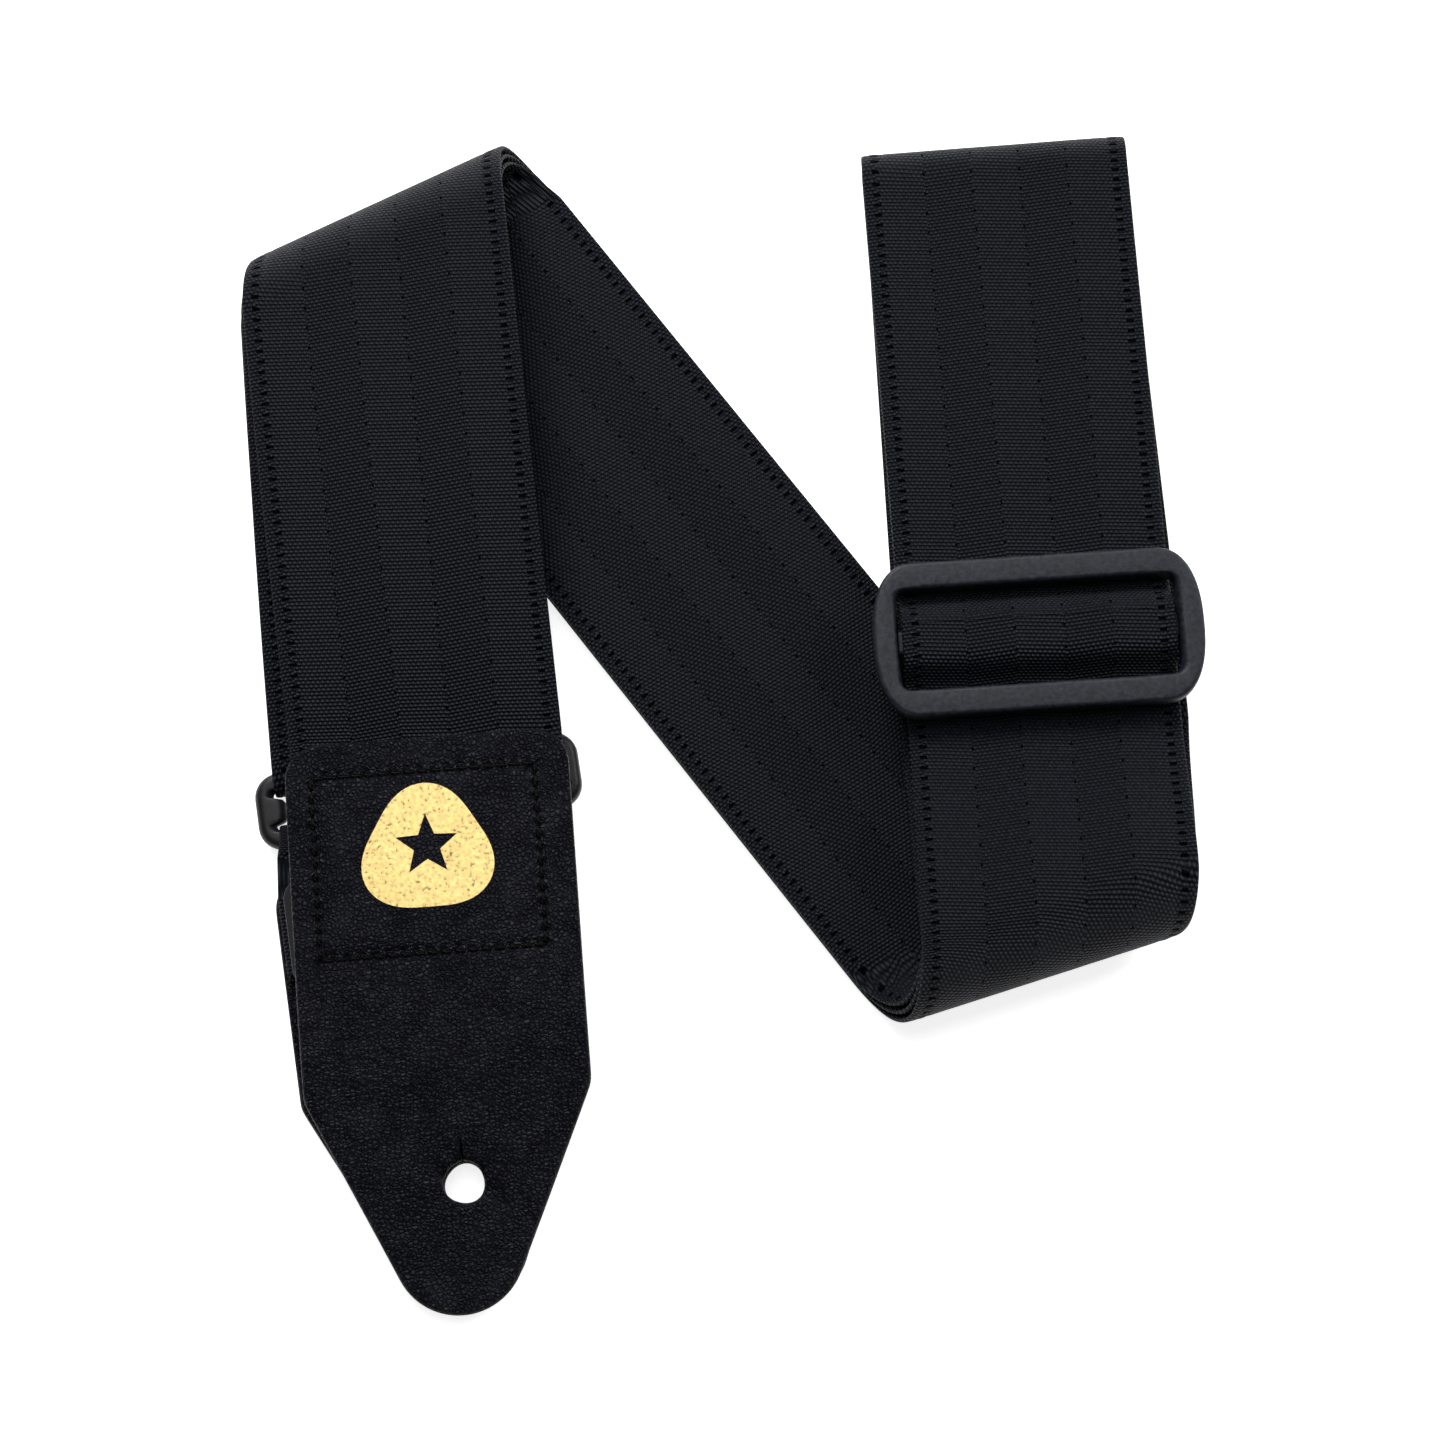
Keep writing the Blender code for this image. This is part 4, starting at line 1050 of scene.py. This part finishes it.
def lay_in_place(obj, middle, level, tilt):
    """Turns and moves an object to its place and puts that place in its mesh."""
    obj.rotation_euler.z = math.radians(tilt)
    obj.location = place((middle[0], middle[1], level))
    select_only(obj)
    bpy.ops.object.transform_apply(location=True, rotation=True, scale=True)
    bpy.ops.object.shade_smooth_by_angle(angle=math.radians(35))


def stitch_box(name, top, tilt, centre, size, level_at, finish, sizes):
    """A box of lock stitches: each stitch is a short rounded bar of thread, leaning across the seam."""
    width = sizes.thread_width / MM
    pitch = sizes.stitch_pitch / MM
    bpy.ops.mesh.primitive_cylinder_add(vertices=8, radius=width / 2, depth=pitch - 0.45,
                                        rotation=(0, math.pi / 2, 0))
    model = bpy.context.object
    select_only(model)
    bpy.ops.object.transform_apply(rotation=True)
    bpy.ops.object.mode_set(mode="EDIT")
    bpy.ops.mesh.select_all(action="SELECT")
    bpy.ops.mesh.bevel(offset=width * 0.32, segments=2)
    bpy.ops.transform.resize(value=(1, 1, 0.8))
    bpy.ops.object.mode_set(mode="OBJECT")
    shape = np.array([v.co for v in model.data.vertices])
    model_faces = [tuple(p.vertices) for p in model.data.polygons]
    bpy.data.objects.remove(model, do_unlink=True)
    points, faces = [], []
    corners = [(-1, -1), (1, -1), (1, 1), (-1, 1)]
    chance = random.Random(7)
    for i, corner in enumerate(corners):
        following = corners[(i + 1) % 4]
        a = np.array(centre) + np.array(corner) * np.array(size) / 2
        b = np.array(centre) + np.array(following) * np.array(size) / 2
        count = int(round(np.linalg.norm(b - a) / pitch))
        direction = (b - a) / np.linalg.norm(b - a)
        for n in range(count):
            middle = a + (b - a) * (n + 0.5) / count
            lean = math.radians(7 + chance.uniform(-3, 3))
            turned = np.array((direction[0] * math.cos(lean) - direction[1] * math.sin(lean),
                               direction[0] * math.sin(lean) + direction[1] * math.cos(lean)))
            side = np.array((-turned[1], turned[0]))
            uv = middle + shape[:, :1] * turned + shape[:, 1:2] * side
            xy = np.array([leather_point(top, tilt, p[0], p[1]) for p in uv])
            curve = -0.16 * (shape[:, 0] / (pitch / 2)) ** 2
            level = level_at + shape[:, 2] + curve
            faces += [tuple(k + len(points) for k in face) for face in model_faces]
            points += list(np.column_stack((xy, level)))
    obj = mesh_object(name, place(points), faces, finish)
    close_and_turn_out(obj)
    obj.data.shade_smooth()
    return obj


def front_level(v):
    """Level of the front leather's underside, v down from its top."""
    fall = smooth((v - FRONT_FLAT_TO) / (FRONT_LOW_FROM - FRONT_FLAT_TO))
    return FRONT_LEVEL + (FRONT_TIP_LEVEL - FRONT_LEVEL) * fall


class STRAP_OT_webbing(bpy.types.Operator):
    """Weaves the long webbing through both folds, the slider and the ring"""

    bl_idname = "strap.webbing"
    bl_label = "Long webbing"

    def execute(self, context):
        sizes = context.scene.strap_sizes
        finish = finish_named("woven polyester webbing")
        front, back, middle = front_rows(), back_rows(), middle_rows()
        whole = Strand(front + back + middle)
        per_fold, per_run = FOLD_STEPS + 1, RUN_STEPS + 1
        pitch = sizes.ladder_pitch / MM / 2
        to_bottom_fold = 3 * per_run + 2 * per_fold
        lower = row_at(front, to_bottom_fold, sizes) + ROWS_PAST_FOLD
        crest = row_at(front, to_bottom_fold + per_run + RULINGS_TO_BAR, sizes)
        upper = row_at(front, len(front) - per_fold, sizes) - ROWS_SHORT_OF_FOLD
        to_sewn_end = len(front + back + middle) - len(bar_loop_profile()) - per_run
        before_end = row_at(front + back + middle, to_sewn_end, sizes) + ROWS_SHORT_OF_FOLD
        last = int(whole.length / pitch) - 1
        at = {key: place(np.append(leather_point(slider_line(along)[0], SLIDER_TILT, WEB_WIDTH / 2, 0.0),
                                   BLEND_LEVEL))
              for key, along in BLEND_AT.items()}
        plan = [
            ("webbing_front_strand", 0, lower, None,
             ("webbing_front_left_run", "webbing_front_top_left_fold", "webbing_front_diagonal",
              "webbing_front_bottom_fold")),
            ("webbing_below_slider", lower, crest, ("strap", "slider", at["low"], at["low_bar"]),
             ("webbing_front_right_lower",)),
            ("webbing_above_slider", crest, upper, ("slider", "strap", at["high_bar"], at["high"]),
             ("webbing_over_slider_bar", "webbing_front_right_upper")),
            ("webbing_back_strand", upper, before_end, None,
             ("webbing_top_right_fold", "webbing_back_right_run", "webbing_back_bottom_fold",
              "webbing_back_diagonal", "webbing_back_top_left_fold", "webbing_back_left_run",
              "webbing_ring_loop", "webbing_middle_left_run", "webbing_middle_top_left_fold",
              "webbing_middle_diagonal", "webbing_middle_bottom_fold", "webbing_middle_right_run",
              "webbing_inner_top_right_fold")),
            ("webbing_sewn_end", before_end, last, ("slider", "strap", at["high_bar"], at["high"]),
             ("webbing_inner_right_upper", "webbing_slider_end_loop")),
        ]
        for name, first, stop, blend, replaced in plan:
            obj, length = webbing(name, whole, first, stop, sizes, finish)
            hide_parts(*replaced)
            if blend:
                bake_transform(obj)
            else:
                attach(obj, "strap")
        return {"FINISHED"}


class STRAP_OT_rear_tab(bpy.types.Operator):
    """Loops the short webbing tab round the ring's lower bar"""

    bl_idname = "strap.rear_tab"
    bl_label = "Rear tab"

    def execute(self, context):
        sizes = context.scene.strap_sizes
        strand = Strand(tab_rows())
        last = int(strand.length / (sizes.ladder_pitch / MM / 2))
        obj, length = webbing("rear_webbing_tab", strand, 0, last, sizes,
                              finish_named("woven polyester webbing"))
        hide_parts("rear_end_tab")
        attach(obj, "rear_end")
        return {"FINISHED"}


class STRAP_OT_slider(bpy.types.Operator):
    """Moulds the slider's frame, with bowed ends, and its middle bar"""

    bl_idname = "strap.slider"
    bl_label = "Slider"

    def execute(self, context):
        radius = context.scene.strap_sizes.edge_radius
        outer = bowed_outline(SLIDER_WIDTH, SLIDER_HEIGHT, SLIDER_BOW, SLIDER_BOW_POWER)
        above = rounded_outline(SLIDER_OPENING["above"], SLIDER_WINDOW[1], 2.2)
        below = rounded_outline(SLIDER_OPENING["below"], SLIDER_WINDOW[1] - 0.4, 1.8)
        frame_piece = moulding("slider_moulding", outer, above, below, SLIDER_THICK, radius / MM,
                               SLIDER_CENTRE, SLIDER_BASE, SLIDER_TILT, finish_named("textured acetal"))
        bar = rounded_outline(SLIDER_WINDOW[0] + 4.0, BAR_WIDTH, 1.0)
        bar_piece = plate("slider_middle_bar", [bar], BAR_THICK, SLIDER_CENTRE, BAR_BOTTOM, SLIDER_TILT,
                          0.7 * MM, finish_named("textured acetal"))
        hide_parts("slider_frame")
        for piece in (frame_piece, bar_piece):
            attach(piece, "slider")
        return {"FINISHED"}


class STRAP_OT_ring(bpy.types.Operator):
    """Moulds the rectangular ring, round in section, with thicker ends"""

    bl_idname = "strap.ring"
    bl_label = "Ring"

    def execute(self, context):
        outer = rounded_outline(RING_WIDTH, RING_HEIGHT, 4.6)
        inner = rounded_outline(RING_OPENING, RING_HEIGHT - 2 * RING_BAR, 1.2)
        inner += [np.array((side * u, v)) for side in (-1, 1) for u, v in RING_END]
        obj = moulding("ring_moulding", outer, inner, inner, RING_BAR, RING_BAR / 2 - 0.05, RING_CENTRE,
                       RING_LEVEL - RING_BAR / 2, RING_TILT, finish_named("satin acetal"))
        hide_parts("ring")
        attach(obj, "ring")
        return {"FINISHED"}


class STRAP_OT_leather_ends(bpy.types.Operator):
    """Cuts, bends and embosses both leather ends"""

    bl_idname = "strap.leather_ends"
    bl_label = "Leather ends"

    def execute(self, context):
        leather = finish_named("finished grain leather")
        front = leather_end("front_leather", FRONT_TOP, FRONT_TILT, LEATHER_LENGTH, HOLE_V, front_level,
                            (BOX_CENTRE, BOX_SIZE), 1, SLIT_LENGTH, leather)
        rear = leather_end("rear_leather", rear_top(), REAR_TILT, REAR_LENGTH, rear_hole_v(),
                           lambda v: 0.0 * v, (REAR_BOX_CENTRE, REAR_BOX_SIZE), 0, 0.0, leather)
        for piece, node, body in ((front, "front_leather_end", "strap"),
                                  (rear, "rear_leather_end", "rear_end")):
            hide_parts(node)
            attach(piece, body)
        return {"FINISHED"}


class STRAP_OT_backings(bpy.types.Operator):
    """Cuts the suede patches behind the stitching"""

    bl_idname = "strap.backings"
    bl_label = "Backing patches"

    def execute(self, context):
        suede = finish_named("split suede")
        front_base = FRONT_LEVEL - 2 * CLEARANCE - WEB_THICK - BACKING_THICK
        outlines = [rounded_outline(size[0] + BACKING_MARGIN, size[1] + BACKING_MARGIN, 4.0)
                    for size in (BOX_SIZE, REAR_BOX_SIZE)]
        front = plate("front_suede_patch", outlines[:1], BACKING_THICK,
                      leather_point(FRONT_TOP, FRONT_TILT, *BOX_CENTRE), front_base,
                      FRONT_TILT, 0.3 * MM, suede)
        rear = plate("rear_suede_patch", outlines[1:], BACKING_THICK,
                     leather_point(rear_top(), REAR_TILT, *REAR_BOX_CENTRE), REAR_STACK,
                     REAR_TILT, 0.3 * MM, suede)
        for piece, node, body in ((front, "front_backing_patch", "strap"),
                                  (rear, "rear_backing_patch", "rear_end")):
            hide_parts(node)
            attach(piece, body)
        return {"FINISHED"}


class STRAP_OT_stitching(bpy.types.Operator):
    """Sews the boxes of lock stitches"""

    bl_idname = "strap.stitching"
    bl_label = "Stitching"

    def execute(self, context):
        sizes = context.scene.strap_sizes
        thread = finish_named("waxed nylon thread")
        front = stitch_box("front_stitches", FRONT_TOP, FRONT_TILT, BOX_CENTRE, BOX_SIZE,
                           FRONT_LEVEL + LEATHER_THICK - 0.08, thread, sizes)
        rear = stitch_box("rear_stitches", rear_top(), REAR_TILT, REAR_BOX_CENTRE, REAR_BOX_SIZE,
                          REAR_STACK + BACKING_THICK + 0.1, thread, sizes)
        flap_top = np.array(SLIDER_CENTRE) + unit(SLIDER_TILT + 90) * FLAP_BOX_ALONG
        sewn = stitch_box("slider_end_stitches", flap_top, SLIDER_TILT, (0.0, 0.0), FLAP_BOX,
                          FLAP_LEVEL - WEB_THICK / 2 - 0.1, thread, sizes)
        for piece, node, body in ((front, "front_box_stitching", "strap"),
                                  (rear, "rear_box_stitching", "rear_end"),
                                  (sewn, "slider_end_stitching", "slider")):
            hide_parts(node)
            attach(piece, body)
        return {"FINISHED"}


class STRAP_OT_emblem(bpy.types.Operator):
    """Stamps the foil plectrum with its star"""

    bl_idname = "strap.emblem"
    bl_label = "Foil emblem"

    def execute(self, context):
        plectrum = []
        for i in range(72):
            angle = 2 * math.pi * i / 72
            radius = FOIL_HALF * (1 - 0.10 * math.cos(3 * (angle + math.pi / 2)))
            plectrum.append((radius * math.cos(angle) * 1.02, radius * math.sin(angle)))
        star = []
        for i in range(10):
            angle = math.pi / 2 + math.pi * i / 5
            radius = FOIL_HALF * (0.52 if i % 2 == 0 else 0.22)
            star.append((radius * math.cos(angle), radius * math.sin(angle) + 1.0))
        middle = leather_point(FRONT_TOP, FRONT_TILT, *FOIL_CENTRE)
        obj = plate("foil_plectrum", [plectrum, star], FOIL_THICK, middle, FRONT_LEVEL + LEATHER_THICK + 0.3,
                    FRONT_TILT, 0.0, finish_named("hot-stamped foil"))
        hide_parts("foil_emblem")
        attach(obj, "strap")
        return {"FINISHED"}


class STRAP_OT_stage(bpy.types.Operator):
    """Lays the studio floor and sets the lights and the camera"""

    bl_idname = "strap.stage"
    bl_label = "Studio"

    def execute(self, context):
        bpy.ops.mesh.primitive_plane_add(size=6.0, location=(0, 0, -0.0004))
        floor = context.object
        floor.name = "studio_floor"
        floor.data.materials.append(finish_named("matt studio floor"))
        for name, at, size, power, aim in (
                ("key softbox", (-0.3, 0.85, 0.7), 0.45, 13.0, (0.0, 0.03, 0.0)),
                ("fill softbox", (0.8, 0.55, 0.7), 0.5, 6.0, (0.0, 0.0, 0.0)),
                ("top softbox", (-0.1, 0.25, 1.1), 0.5, 3.0, (0.0, 0.0, 0.0))):
            data = bpy.data.lights.new(name, "AREA")
            data.size = size
            data.energy = power
            light = bpy.data.objects.new(name, data)
            context.scene.collection.objects.link(light)
            light.location = at
            light.rotation_euler = (Vector(aim) - Vector(at)).to_track_quat("-Z", "Y").to_euler()
        world = bpy.data.worlds.new("studio")
        context.scene.world = world
        world.use_nodes = True
        world.node_tree.nodes["Background"].inputs["Color"].default_value = (1.0, 1.0, 1.0, 1.0)
        world.node_tree.nodes["Background"].inputs["Strength"].default_value = 0.12
        context.scene.view_settings.view_transform = "Standard"
        elevation = math.radians(VIEW_ELEVATION)
        target = Vector(place((0.0, 0.0, 5.0)))
        data = bpy.data.cameras.new("camera")
        data.lens = SENSOR_WIDTH * VIEW_DISTANCE / VIEW_WIDTH
        data.sensor_width = SENSOR_WIDTH
        camera = bpy.data.objects.new("camera", data)
        context.scene.collection.objects.link(camera)
        towards = Vector((0.0, math.cos(elevation), -math.sin(elevation)))
        camera.location = target - towards * (VIEW_DISTANCE * MM)
        camera.rotation_euler = (math.pi / 2 - elevation, 0.0, 0.0)
        context.scene.camera = camera
        return {"FINISHED"}


class STRAP_PT_panel(bpy.types.Panel):
    """Lists the steps that build the strap"""

    bl_idname = "STRAP_PT_panel"
    bl_label = "Folded guitar strap"
    bl_space_type = "VIEW_3D"
    bl_region_type = "UI"
    bl_category = "Strap"

    def draw(self, context):
        for group in (context.scene.strap_sizes, context.scene.strap_colours):
            for name in group.__annotations__:
                self.layout.prop(group, name)
        for step in STEPS:
            self.layout.operator(step.bl_idname)


STEPS = (STRAP_OT_stage, STRAP_OT_webbing, STRAP_OT_rear_tab, STRAP_OT_slider, STRAP_OT_ring,
         STRAP_OT_leather_ends, STRAP_OT_backings, STRAP_OT_stitching, STRAP_OT_emblem)


def register():
    for cls in (StrapSizes, StrapColours, *STEPS, STRAP_PT_panel):
        bpy.utils.register_class(cls)
    bpy.types.Scene.strap_sizes = bpy.props.PointerProperty(type=StrapSizes)
    bpy.types.Scene.strap_colours = bpy.props.PointerProperty(type=StrapColours)


def unregister():
    del bpy.types.Scene.strap_colours
    del bpy.types.Scene.strap_sizes
    for cls in reversed((StrapSizes, StrapColours, *STEPS, STRAP_PT_panel)):
        bpy.utils.unregister_class(cls)


def main():
    register()
    for step in STEPS:
        group, name = step.bl_idname.split(".")
        getattr(getattr(bpy.ops, group), name)()


if __name__ == "__main__":
    main()
